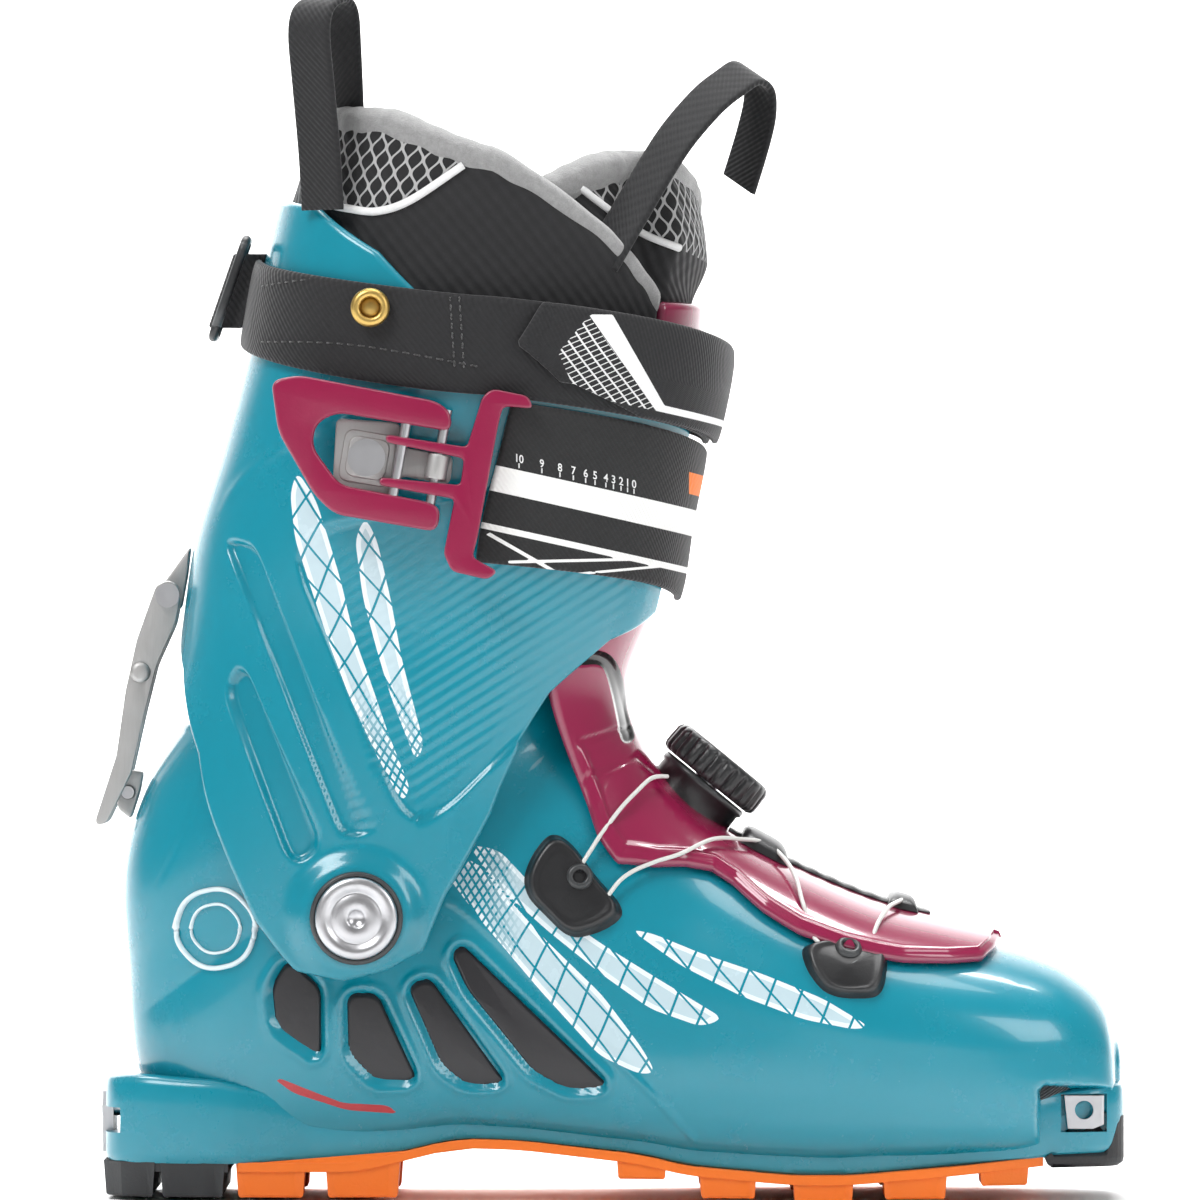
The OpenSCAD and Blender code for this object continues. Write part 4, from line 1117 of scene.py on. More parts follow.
def addCuff():
    angles = np.linspace(20, 340, cuff["columns"])
    outer, u, a = strapGrid(legForm, angles, cuff["low"], cuff["high"], cuff["rows"], 0)
    wide = formPoints(legForm, u, a, 1)
    inner = formPoints(legForm, u, a, -cuff["wall"])
    x, y, z = outer[..., 0], outer[..., 1], outer[..., 2]
    near = np.hypot(x - pivot[0], z - pivot[1])
    side = ease((np.abs(y) - 26) / 8)
    relief = cuffRelief(x, z) * ease((near - 15) / 6) * side
    relief[:3] = relief[3]
    relief[-3:] = relief[-4]
    outer = outer + (wide - outer) * relief[..., None]
    blend = (1 - ease((near - cuff["bossRadius"]) / 7)) * side
    outer[..., 1] = outer[..., 1] * (1 - blend) + np.sign(y) * cuff["bossFace"] * blend
    room = np.minimum(np.abs(outer[..., 1]) - 2.6, np.abs(inner[..., 1]) + 2)
    inner[..., 1] = np.where(near < 22, np.sign(y) * room, inner[..., 1])
    obj = addSheet("cuff_body", outer, inner, bulge=0.9, rimSteps=5)
    printedBands(obj, cuff["bands"], [], lambda x, z: ease((150 - z) / 30))
    addBoss(obj)
    return finishPiece(obj, "cuff", materials["teal"], "shell_plastic", "cuff")


# The eye at the cuff's foot through which the pivot passes
def addBoss(obj):
    centre = (pivot[0], 0, pivot[1])
    parts = [addTurned("eye", centre, (0, side, 0), cuff["eye"], 64) for side in (-1, 1)]
    skinCount = len(obj.data.vertices)
    joinObjects(obj.name, [obj, *parts])
    for name in ("printBand", "accent", "printFine"):
        layer = obj.data.attributes[name].data
        for index in range(skinCount, len(layer)):
            layer[index].value = 50


addCuff()
print("cuff built")

# Tongue
tongue = {
    "half": [(3.3, 16), (3.42, 28), (3.62, 39), (4.1, 45), (4.71, 50), (5.5, 52.5), (6.1, 52), (6.6, 48),
             (7.1, 41), (7.5, 39.5),
             (8, 45), (8.5, 53), (9.05, 59), (9.5, 56), (9.8, 52)], "columns": 220,
    "slot": [(-7.9, 151.6), (0.3, 149.4), (5.2, 129.7)], "creases": [[(-6, 118), (8, 124), (14, 119)],
                                                                     [(-8, 128), (7, 133)]]}


def addTongue():
    footU = np.linspace(3.3, 9.8, 200)
    legU = np.linspace(3.75, 7.5, 140)
    shin = np.interp(legU, [3.75, 4.3], [54, 38])
    turn = np.linspace(-1, 1, tongue["columns"])
    half = np.interp(footU, *np.array(tongue["half"], float).T)
    low = [formPoints(footForm, u, turn * h, 3.9) for u, h in zip(footU, half)]
    under = [formPoints(footForm, u, turn * h, 0.5) for u, h in zip(footU, half)]
    high = [formPoints(legForm, u, turn * h, -3.8) for u, h in zip(legU, shin)]
    highUnder = [formPoints(legForm, u, turn * h, -7.2) for u, h in zip(legU, shin)]
    gap = np.linalg.norm(low[-1] - high[0], axis=1).mean()

    def bridge(a, b, before, after, count=60):
        made = []
        for t in np.linspace(0, 1, count + 2)[1:-1]:
            h1, h2 = 2 * t ** 3 - 3 * t ** 2 + 1, t ** 3 - 2 * t ** 2 + t
            h3, h4 = -2 * t ** 3 + 3 * t ** 2, t ** 3 - t ** 2
            made.append(h1 * a + h2 * before + h3 * b + h4 * after)
        return made

    def slope(rows, i, j):
        way = rows[i] - rows[j]
        return way / np.linalg.norm(way, axis=1, keepdims=True) * gap

    outer = low + bridge(low[-1], high[0], slope(low, -1, -4), slope(high, 3, 0)) + high
    inner = under + bridge(under[-1], highUnder[0], slope(under, -1, -4), slope(highUnder, 3, 0)) + highUnder
    outer, inner = np.array(outer), np.array(inner)
    x, y, z = outer[..., 0], outer[..., 1], outer[..., 2]
    slot = pathDistance(x, z, smoothPath(tongue["slot"], 8)) - 1.4
    relief = -0.9 * ease((0.8 - slot) / 1.4)
    for crease in tongue["creases"]:
        relief -= 0.5 * np.exp(-(pathDistance(x, z, crease) / 0.8) ** 2)
    edge = 1 - np.abs(turn)[None, :]
    lip = 0.9 * np.exp(-((edge * 45 - 2.2) / 1.4) ** 2)
    relief = relief + lip * ease((z - 60) / 10) * ease((132 - z) / 12)
    way = outer - inner
    way /= np.linalg.norm(way, axis=-1, keepdims=True)
    sides = ease((np.abs(y) - 8) / 4)
    outer = outer + way * (relief * (0.3 + 0.7 * sides))[..., None]
    obj = addSheet("tongue_shell", outer, inner, bulge=0.9, rimSteps=4)
    # Mask for the groove's painted shade: within 2 mm of its path, on the tongue's sides only
    px, py, pz = pointsOf(obj).T
    reach = pathDistance(px, pz, smoothPath(tongue["slot"], 8)) - 2
    addValues(obj, "slot", np.where(np.abs(py) > 9, reach, 50))
    obj.data.materials.append(materials["magenta"])
    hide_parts("tongue_lower", "tongue_flex", "tongue_upper")
    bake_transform(obj)


addTongue()
print("tongue built")

# Liner
liner = {
    "gap": 3.9, "thick": 8, "lift": 3.4,
    "top": [(42, 7.6), (60, 8.3), (90, 9.3), (120, 9.9), (150, 10), (180, 9.6)],
    "piping": [(-84, 279.2), (-72, 276.4), (-63.8, 275.6), (-54.4, 278.8), (-40.4, 288.2)],
    "panel": [(-84, 279.2), (-72, 276.4), (-63.8, 275.6), (-54.4, 278.8), (-40.4, 288.2), (-30, 306),
              (-100, 330)],
    "frontPiping": [(-8, 282.4), (0, 276.2), (9.7, 269.8), (19.5, 266)],
    "frontPanel": [(-8, 282.4), (0, 276.2), (9.7, 269.8), (28.2, 262.3), (34, 300), (-20, 300)]}


# Soft swell between the seams, with a few slow creases
def swell(u, a, amount):
    a = np.radians(a)
    return amount * (0.6 * np.sin(u * 2.1 + 0.6) * np.cos(a * 3) + 0.4 * np.sin(u * 5.3 + a * 4))


def addLinerFoot():
    rows = list(np.linspace(1, 15.8, 120))
    angles = np.linspace(0, 360, 200, endpoint=False)

    def rings(d):
        made = [formPoints(footForm, u, angles, d, liner["lift"]) for u in rows]
        for t in np.linspace(0, 1, 26)[1:]:
            low = formPoints(footForm, 15.8, angles, d, liner["lift"] * (1 - t))
            made.append(low * (1 - t) + formPoints(legForm, 4.35, angles, d - 3.4) * t)
        return np.array(made)

    outer, inner = rings(-4.9), rings(-12.9)
    size = outer.shape[:2]
    run = runAlong(outer[:, 50])
    cloth = np.stack([np.broadcast_to(angles * 1.1, size), np.broadcast_to(run[:, None], size),
                      np.zeros(size)], -1)
    obj = addSheet("liner_body", outer, inner, wrap=True, closedStart=True, cloth=cloth)
    if "cloth" not in obj.data.attributes:
        addMap(obj, "cloth", pointsOf(obj))
    addValues(obj, "meshPanel", np.full(len(obj.data.vertices), 50))
    obj.data.materials.append(materials["knit"])
    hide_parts("liner_foot", "liner_ankle")
    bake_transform(obj)


# Outer and inner grids of a liner panel, with its cloth map
def linerGrid(a, topOf, d, amount):
    rows = len(a)
    t = np.linspace(0, 1, rows)[:, None]
    u = 4.38 * (1 - t) + topOf(a) * t
    seam = np.minimum(1, (1 - t) * rows / 14)
    outer = formPoints(legForm, u, a, d + swell(u, a, amount) * seam * ease(t * 6))
    inner = formPoints(legForm, u, a, np.maximum(d - liner["thick"], -19))
    run = runAcross(outer)
    cloth = np.stack([run - run[:, -1:] / 2, outer[..., 2], np.zeros(run.shape)], -1)
    return outer, inner, cloth


def paintPanels(obj, panels):
    x, _, z = pointsOf(obj).T
    addValues(obj, "meshPanel", np.min([outlineDistance(x, z, np.array(p, float)) for p in panels], axis=0))


# Padded binding over a raw top edge
def addBinding(name, outer, inner, node, wide=6.4):
    middle = (outer[-1] + inner[-1]) / 2
    down = outer[-1] - outer[-4]
    down /= np.linalg.norm(down, axis=1, keepdims=True)
    across = outer[-1] - inner[-1]
    across /= np.linalg.norm(across, axis=1, keepdims=True)
    rings = []
    step = np.arange(len(middle))
    lump = 1 + 0.035 * np.sin(step * 0.55 + 2 * np.sin(step * 0.13))
    for turn in np.radians(np.linspace(0, 360, 24, endpoint=False)):
        reach = 5.2 * math.cos(turn) * lump[:, None]
        rise = (wide * math.sin(turn) if math.sin(turn) < 0 else 3.6 * math.sin(turn)) * lump[:, None]
        rings.append(middle + across * reach + down * rise)
    rings = np.array(rings).transpose(1, 0, 2)
    obj = addObject(name, rings.reshape(-1, 3), cappedFaces(*rings.shape[:2]))
    finishPiece(obj, "cuff", materials["felt"], "liner_fabric", node)
    return obj


# Smooth path laid on a surface seen from the side
def onSurface(tree, path, side, lift):
    made = []
    for x, z in smoothPath(path, 10):
        hit, normal = castSide(tree, x, z, side)
        made.append(hit + normal * lift)
    return np.array(made)


# White cord along a seam on both sides
def addPiping(name, skin, path, radius, node):
    tree = treeOf(skin.reshape(-1, 3), gridFaces(*skin.shape[:2], False))
    pipes = [addTube("piping", onSurface(tree, path, side, 0.3), radius) for side in (-1, 1)]
    finishPiece(joinObjects(name, pipes), "cuff", materials["piping"], "liner_fabric", node)


def addLinerShaft():
    angles = np.broadcast_to(np.linspace(42, 318, 300), (170, 300))
    outer, inner, cloth = linerGrid(angles, lambda a: folded(a, liner["top"]), -liner["gap"], 0.7)
    obj = addSheet("liner_upper", outer, inner, bulge=0.3, rimSteps=4, cloth=cloth)
    paintPanels(obj, [liner["panel"]])
    finishPiece(obj, "cuff", materials["knit"], "liner_fabric", "liner_shaft")
    addBinding("liner_binding", outer, inner, "liner_shaft")
    addPiping("liner_piping", outer, liner["piping"], 1.15, "liner_shaft")


def addLinerTongue():
    t = np.linspace(0, 1, 170)[:, None]
    angles = np.linspace(-1, 1, 200)[None, :] * np.interp(t, [0, 0.45, 0.9, 1], [36, 40, 72, 74])
    flare = 5.5 * ease((t - 0.69) / 0.13) * ease((46 - np.abs(angles)) / 16)
    outer, inner, cloth = linerGrid(angles, lambda a: 9.28 - 0.42 * ((np.abs(a) - 38) / 38) ** 2,
                                    -8.1 + flare - 4.7 * ease((np.abs(angles) - 30) / 11), 0.5)
    obj = addSheet("liner_tongue_pad", outer, inner, bulge=0.3, rimSteps=4, cloth=cloth)
    paintPanels(obj, [liner["frontPanel"]])
    finishPiece(obj, "cuff", materials["knit"], "liner_fabric", "liner_tongue")
    addBinding("tongue_binding", outer, inner, "liner_tongue", 7.4)
    addPiping("tongue_piping", outer, liner["frontPiping"], 1.1, "liner_tongue")


addLinerFoot()
addLinerShaft()
addLinerTongue()
print("liner built")

# Straps and pull loops
straps = {
    "powerLow": [(0, 6.02), (90, 6.55), (180, 7.1)], "powerHigh": [(0, 7.05), (90, 7.55), (180, 8.05)],
    "padLow": [(0, 6.02), (50, 6.3), (70, 6.66), (90, 6.8)],
    "buckleLow": [(0, 4.1), (90, 4.74), (180, 5.2)], "buckleHigh": [(0, 5.85), (90, 6.45), (180, 7)],
    "crossSeams": [[(-44, 252.5), (-43.4, 243), (-42.6, 231)], [(-41.4, 252), (-40.8, 243), (-40, 230.6)]],
    "edgeSeams": [[(-97, 255.2), (-70, 257.2), (-30, 253.4)], [(-97, 239.6), (-70, 238.2), (-34, 231.8)]],
    "padStripe": [(-5.6, 246.6), (1, 246.6), (15.4, 221.7), (34.5, 217.6), (34.5, 215.8), (13, 220.2)],
    "padSeam": [(-21, 248), (-25.5, 240), (-24, 230), (-14, 224.5)],
    "padNet": [(-5.6, 246.2), (13, 220.2), (-9, 224.6), (-14, 236)],
    "stripes": [[(-31.8, 205.1), (26, 192.5), (26, 185), (-33.6, 198.2)],
                [(-36.1, 189.5), (26, 176), (26, 174.2), (-35.8, 187.7)],
                [(-33, 186.4), (-9, 172.6), (-9.6, 171.9), (-34, 185.8)],
                [(-28, 178.6), (6, 179.4), (6, 178.6), (-28, 177.8)],
                [(-20, 174.2), (16, 177.6), (16, 176.9), (-20, 173.5)]],
    "scale": [-24.9, -18.6, -13.6, -9.9, -6.5, -3.9, -0.9, 1.2, 3.3, 5.1, 6.9],
    "orangeEnd": [(22.4, 203.5), (31, 201.6), (31, 195.6), (22.4, 197.4)]}


# Millimetres along and across a strap
def strapMap(outer):
    run = runAcross(outer)
    return np.stack([run, np.broadcast_to(runAlong(outer[:, 0])[:, None], run.shape), 0 * run], -1)


def addBand(name, angles, low, high, d0, d1, rows, material, node, wrap=False, bow=0.35):
    t = np.linspace(-1, 1, rows)[:, None]
    outer, u, a = strapGrid(legForm, angles, low, high, rows, d1)
    outer = outer + (formPoints(legForm, u, a, d1 + 1) - outer) * (-bow * np.abs(t) ** 6)[..., None]
    inner = strapGrid(legForm, angles, low, high, rows, d0)[0]
    obj = addSheet(name, outer, inner, wrap=wrap, bulge=0.8, rimSteps=4, cloth=strapMap(outer))
    if "cloth" not in obj.data.attributes:
        addMap(obj, "cloth", pointsOf(obj))
    finishPiece(obj, "cuff", material, "webbing", node)
    return obj, treeOf(outer.reshape(-1, 3), gridFaces(*outer.shape[:2], wrap))


# Short stitches dipping in and out of the cloth along a path
def stitchRow(tree, path, side, lift, step=2.6, length=1.7, radius=0.24):
    line = onSurface(tree, path, side, lift)
    run = runAlong(line)
    parts = []
    for start in np.arange(0.4, run[-1] - length, step):
        goal = np.linspace(start, start + length, 5)
        piece = np.stack([np.interp(goal, run, line[:, k]) for k in range(3)], 1)
        normal = castSide(tree, piece[2, 0], piece[2, 2], side)[1]
        piece = piece + normal * (np.array([-0.5, 0.05, 0.15, 0.05, -0.5])[:, None] * 0.8)
        parts.append(addTube("stitch", piece, radius, 6))
    return parts


def addStraps():
    angles = np.linspace(0, 360, 420, endpoint=False)
    powerTree = addBand("power_band", angles, straps["powerLow"], straps["powerHigh"], 0.6, 3.0, 24,
                        materials["webbing"], "power_strap", wrap=True)[1]
    t = np.linspace(0, 1, 40)[:, None]
    start = np.interp(t, [0, 0.42, 1], [-73.5, -83.4, -79.6])
    spread = np.linspace(0, 1, 240)[None, :]
    a = start * (1 - spread) + 60 * spread
    low, high = folded(np.abs(a), straps["padLow"]), folded(np.abs(a), straps["powerHigh"])
    u = low * (1 - t) + high * t
    d = 5.7 - 0.5 * np.abs(2 * t - 1) ** 6 + 0 * a
    skin = formPoints(legForm, u, a)
    chevron = pathDistance(skin[..., 0], skin[..., 2], straps["padSeam"])
    d = d - 0.4 * np.exp(-((chevron - 2.4) / 0.5) ** 2) - 0.4 * np.exp(-((chevron - 4.6) / 0.5) ** 2)
    outer = formPoints(legForm, u, a, d)
    pad = addSheet("pad_front", outer, formPoints(legForm, u, a, 3.2), bulge=0.8, rimSteps=4,
                   cloth=strapMap(outer))
    x, y, z = pointsOf(pad).T
    addValues(pad, "printBand", outlineDistance(x, z, np.array(straps["padStripe"], float)))
    addValues(pad, "printFine", outlineDistance(x, z, np.array(straps["padNet"], float)))
    finishPiece(pad, "cuff", materials["pad"], "webbing", "power_strap_pad")

    band, bandTree = addBand("buckle_band", np.linspace(-82, 100, 620), straps["buckleLow"],
                             straps["buckleHigh"], 0.6, 3.2, 110,
                         materials["strap"], "buckle_strap")
    x, y, z = pointsOf(band).T
    front = np.where(y < 4, 0, 50)
    addValues(band, "printBand", np.min([outlineDistance(x, z, np.array(p,
                                                                        float)) for p in straps["stripes"]],
                                        axis=0) + front)
    addValues(band, "accent", outlineDistance(x, z, np.array(straps["orangeEnd"], float)) + front)
    addScale(bandTree)
    seams = []
    for row in straps["crossSeams"]:
        seams += stitchRow(powerTree, row, -1, 0.1)
    for side in (-1, 1):
        for row in straps["edgeSeams"]:
            seams += stitchRow(powerTree, row, side, 0.1, 3.2, 2.1)
    finishPiece(joinObjects("strap_stitching", seams), "cuff", materials["thread"], "webbing", "power_strap")


# Position numbers and ticks above the white stripe
def addScale(tree):
    parts = []
    lean = 0.2178
    for index, x in enumerate(straps["scale"]):
        figure = bpy.data.curves.new("figure", "FONT")
        figure.body, figure.size, figure.align_x = str(10 - index), 3.1, "CENTER"
        figure.offset = 0.05
        shape = bpy.data.objects.new("figure", figure)
        bpy.context.scene.collection.objects.link(shape)
        mesh = evaluatedMesh(shape)
        bpy.data.objects.remove(shape)
        base = 205.3 - (x + 31.8) * lean
        flat = [(v.co.x * 0.82 + x, v.co.y - lean * v.co.x + base + 2) for v in mesh.vertices]
        points = []
        for px, pz in flat:
            hit, normal = castSide(tree, px, pz, -1)
            points.append(hit + normal * 0.12)
        parts.append(addObject("digits", points, [list(p.vertices) for p in mesh.polygons]))
        tick = [castSide(tree, x, base + step, -1) for step in (0.4, 1.7)]
        parts.append(addTube("tick", [hit + normal * 0.05 for hit, normal in tick], 0.2, 6))
    obj = joinObjects("strap_scale", parts)
    finishPiece(obj, "cuff", materials["piping"], "webbing", "buckle_strap")


loops = {"rear": [(-79.5, -43.8, 276), (-80.4, -44.6, 292), (-82, -45.4, 310), (-83.2, -46, 324),
                  (-82.4, -44, 331),
                  (-79.8, -40, 334.2), (-77.4, -35.5, 334.6), (-75.6, -31.6, 331), (-75, -29, 322),
                  (-74.2, -26.6, 302)],
         "front": [(-2, -42, 262), (5, -38.6, 274), (12, -35.5, 286), (19, -31.8, 297), (27.5, -27, 307),
                   (34, -23, 312.4),
                   (38.6, -18.6, 315.3), (42, -14, 313), (42.4, -11.6, 306), (40.4, -10, 297),
                   (36.6, -9, 284.5)],
         "tab": [(-100.4, -1), (-103, -3.4), (-105.6, -4.3), (-107.6, -4.5), (-108.4, -6), (-107.6, -7.5),
                 (-105.4, -7.4),
                 (-102, -6.6), (-99.6, -7.4)],
         "grommet": [(2.8, 58.4), (2.8, 60.2), (3.3, 60.9), (4.2, 61), (5, 60.5), (5.4, 59.6), (5.4, 58.8),
                     (2.8, 58.4)]}


def addLoops():
    rear = addRibbon("rear_loop", smoothPath(loops["rear"], 12), (11.3, -8.3, 0), 14.4, 1.9)
    front = addRibbon("front_loop", smoothPath(loops["front"], 12), (8, -9, -6), 14.0, 1.9)
    finishPiece(rear, "cuff", materials["webbing"], "webbing", "pull_loop_rear")
    finishPiece(front, "cuff", materials["webbing"], "webbing", "pull_loop_front")


def roundedRect(width, height, radius, steps=6):
    corners = [(-width / 2, -height / 2), (width / 2, -height / 2), (width / 2, height / 2),
               (-width / 2, height / 2)]
    return softened(corners, radius, steps)


# Ring on the rear strap and the webbing tab that holds it
def addRing():
    corners = roundedRect(14, 28.6, 3)
    loop = smoothPath(np.vstack([corners, corners[:1]]), 3)
    tilt = math.radians(19)
    path = [(-106.2 + z * math.sin(tilt), -13 + y, 255 + z * math.cos(tilt)) for y, z in loop]
    finishPiece(addTube("rear_ring", path, 1.35, 12), "cuff", materials["black"], "black_plastic",
                "strap_ring")
    path = smoothPath([(x, y, 254.6) for x, y in loops["tab"]], 8)
    tab = addRibbon("ring_tab", path, (math.sin(tilt), 0, math.cos(tilt)), 22, 1.4)
    finishPiece(tab, "cuff", materials["webbing"], "webbing", "power_strap")


def addGrommets():
    parts = [addTurned("grommet", (-66, 0, 248.5), (0, side, 0), loops["grommet"], 48) for side in (-1, 1)]
    finishPiece(joinObjects("grommet_rings", parts), "cuff", materials["brass"], "brass", "strap_grommets")


addStraps()
addLoops()
addRing()
addGrommets()
print("straps built")


# Pieces lying on the shell
# Domed plate over a side-view outline, following the surface under it
def addInlay(name, tree, outline, side, top, under, rows=14, dome=0.0, lip=0.0, shoulder=0.16):
    outline = np.asarray(outline, float)
    centre = outline.mean(0)
    rings, low = [], []
    for s in np.linspace(1, 0.03, rows) ** 0.8:
        rise = top * ease((1 - s) / shoulder) if shoulder else top
        rise += dome * (1 - s) + lip * math.exp(-((1 - s - 0.2) / 0.08) ** 2)
        ring, deep = [], []
        for x, z in centre + (outline - centre) * s:
            hit, normal = castSide(tree, x, z, side)
            ring.append(hit + normal * rise)
            deep.append(hit + normal * under)
        rings.append(ring)
        low.append(deep)
    rings.reverse()
    low.reverse()
    return addSheet(name, np.array(rings), np.array(low), wrap=True, closedStart=True, bulge=0.2, rimSteps=2)


inlays = {
    "ankle": [(-24, 90.1), (-21.7, 96.4), (-17.2, 102.3), (-13.6, 102.3), (-9.6, 99.1), (-3.8, 91),
              (3.4, 83), (3.9, 79.4),
              (-1.1, 75.8), (-8.7, 73.5), (-12.7, 74.9), (-17.2, 79.4), (-22.6, 84.8)],
    "toe": [(52.9, 71.3), (58.3, 72.6), (76.2, 70.8), (77.6, 67.7), (76.2, 59.6), (73.5, 57.3), (64.5, 57.3),
            (59.2, 59.1),
            (54.7, 65)],
    "ankleHole": (-8.25, 90.1), "toeHole": (65.9, 69),
    "eye": [(0, 2.6), (1.5, 2.6), (1.7, 4.0), (2.4, 4.6), (3.3, 4.3), (3.8, 3.2), (3.8, 2), (0, 1.8)],
    "plug": [(0, -3), (2.6, -3), (3.1, 0.1), (3, 0.7), (2.2, 1.2), (0, 0.9)]}


def addInlays():
    for label, side in (("lateral", -1), ("medial", 1)):
        panels = []
        for window in shell["windows"]:
            outline = np.array(window, float)
            outline = outline.mean(0) + (outline - outline.mean(0)) * 1.1
            panels.append(addInlay("panel", footTree, softened(outline, 3, 7), side, -1.9, -3.6, 8,
                                   shoulder=0))
        obj = joinObjects("windows_" + label, panels)
        finishPiece(obj, "shell", materials["panel"], "black_plastic", "window_panels_" + label)
        for kind in ("ankle", "toe"):
            plate = addInlay(kind, footTree, softened(inlays[kind], 3, 5), side, 2.6, -0.6, 18, dome=1.2,
                             lip=0.5)
            hit, normal = castSide(footTree, *inlays[kind + "Hole"], side)
            eye = addTurned("eye", hit, normal, inlays["eye"], 36)
            obj = joinObjects(kind + "_lace_guide_" + label, [plate, eye])
            finishPiece(obj, "shell", materials["black"], "black_plastic", kind + "_guide_" + label)
    parts = []
    for side in (-1, 1):
        turn = np.radians(np.arange(0, 361, 60) + 12)
        x, z = shell["badge"]
        radius = shell["badgeRadius"]
        hexagon = softened([(x + radius * math.cos(t), z + radius * math.sin(t)) for t in turn[:-1]], 6, 9)
        for share, thick in ((1, 1.5), (0.62, 0.9)):
            loop = (x, z) + (np.vstack([hexagon, hexagon[:1]]) - (x, z)) * share
            path = [castSide(footTree, px, pz, side) for px, pz in loop]
            parts.append(addTube("badge", [hit + normal * 0.1 for hit, normal in path], thick, 10, (1, 0.5)))
    finishPiece(joinObjects("badge_rings", parts), "shell", materials["badge"], "shell_plastic",
                "lower_shell")
    plugs = []
    for side in (-1, 1):
        hit, normal = castSide(footTree, -111, 122, side)
        plugs.append(addTurned("plug", hit, normal, inlays["plug"], 36))
    finishPiece(joinObjects("tab_plugs", plugs), "shell", materials["black"], "black_plastic", "shell_plugs")


addInlays()
print("inlays built")

# Lace, guides and dial
lace = {
    "route": [(8.7, 20, 7.5), (9, 28, 6.6), (9.2, 38, 6), (9.35, 46, 5.8), (9.45, 52, 4.6), (9.55, 60, 3),
              (9.6, 72, 2.2),
              (9.35, 78, 2.2), (9.1, 74, 2.3), (8.9, 64, 3), (8.5, 54, 3.4), (8.1, 46, 5), (7.6, 32, 6.2),
              (7.1, 21, 6.4),
              (6.8, 13, 6.6), (6.6, 10, 6.6), (6.35, 19, 6.2), (6.2, 30, 6), (6.1, 40, 4.8), (6, 46, 2.9),
              (5.9, 54, 2.4),
              (5.6, 59, 2.3), (5.3, 54, 2.4), (5.15, 45, 2.9), (5.05, 36, 4.8), (4.9, 24, 6),
              (4.75, 14, 6.2), (4.68, 8, 6.3)],
    "radius": 0.62, "dial": (21.8, 0, 109.9), "axis": (0.63338, 0, 0.77384),
    "housing": [(0, -7), (11.4, -7), (13, -5.6), (13.6, -3.5), (13.3, 0), (13.2, 6.2), (13.9, 6.8), (13.9, 8),
                (13.3, 8.6), (10.6, 8.6), (10.5, 4.4), (0, 4.3)],
    "grip": [(0, 9.05), (14.4, 9.05), (15.6, 9.7), (16, 10.8), (16, 12.6), (15.9, 14.4), (15.9, 16),
             (15.2, 17.2),
             (14.2, 17.9), (12.9, 18), (12.2, 17.5), (11.6, 16.4), (8.6, 16.1), (7.6, 16.1), (7.2, 16.7),
             (5.4, 16.9),
             (4.8, 16.4), (4.6, 15.6), (0, 15.5)]}


def addLaces():
    for label, side in (("lateral", -1), ("medial", 1)):
        u, a, d = smoothPath(lace["route"], 12).T
        path = formPoints(footForm, u, side * a, d)
        obj = addTube("cable_" + label, path, lace["radius"], 10)
        finishPiece(obj, "shell", materials["cable"], "steel", "lace_" + label)


# Low raised piece over the instep, rounded off towards its edges
def footPatch(name, us, turn, d0, d1, power=(4, 4), ridge=0.0, ridges=0):
    u = np.linspace(us[0], us[1], 46)[:, None]
    a = np.linspace(-turn, turn, 46)[None, :]
    s = np.minimum(np.abs((u - (us[0] + us[1]) / 2) / ((us[1] - us[0]) / 2)), 1)
    w = np.minimum(np.abs(a) / turn, 1)
    rise = d0 + 0.5 + (d1 - d0 - 0.5) * (1 - s ** power[0]) ** 0.5 * (1 - w ** power[1]) ** 0.5
    if ridges:
        rise = rise + ridge * np.cos((u - us[0]) / (us[1] - us[0]) * ridges * 2 * np.pi)
    return addSheet(name, formPoints(footForm, u, a, rise), formPoints(footForm, u, a, d0), bulge=0.6)


def addGuides():
    spine = footPatch("spine_strip", (4.3, 7.3), 7, 3.9, 5.2, (8, 6), 0.16, 34)
    finishPiece(spine, "shell", materials["black"], "black_plastic", "lace_spine")
    middle = footPatch("middle_lace_guide", (6.32, 7.08), 15.5, 3.9, 8.5, (4, 3))
    finishPiece(middle, "shell", materials["black"], "black_plastic", "tongue_guide_mid")
    front = footPatch("front_lace_guide", (4.48, 4.88), 12.5, 3.9, 7.7, (4, 3))
    finishPiece(front, "shell", materials["black"], "black_plastic", "tongue_guide_front")


# Finger notches round the knob's side
def gripped(turn, radius, height):
    if 14.2 < radius and 9.5 < height < 17:
        return -0.85 * (0.5 + 0.5 * np.cos(turn * 26)) ** 3 * np.clip((17 - height) / 1.2, 0, 1)
    return 0 * turn


def addDial():
    base = addTurned("dial_housing", lace["dial"], lace["axis"], lace["housing"], 96)
    finishPiece(base, "shell", materials["black"], "black_plastic", "dial_base")
    knob = addTurned("dial_grip", lace["dial"], lace["axis"], lace["grip"], 312, gripped)
    finishPiece(knob, "dial_knob", materials["black"], "black_plastic", "dial_knob")
    smoothByAngle(knob, 50)


addLaces()
addGuides()
addDial()
print("lace system built")

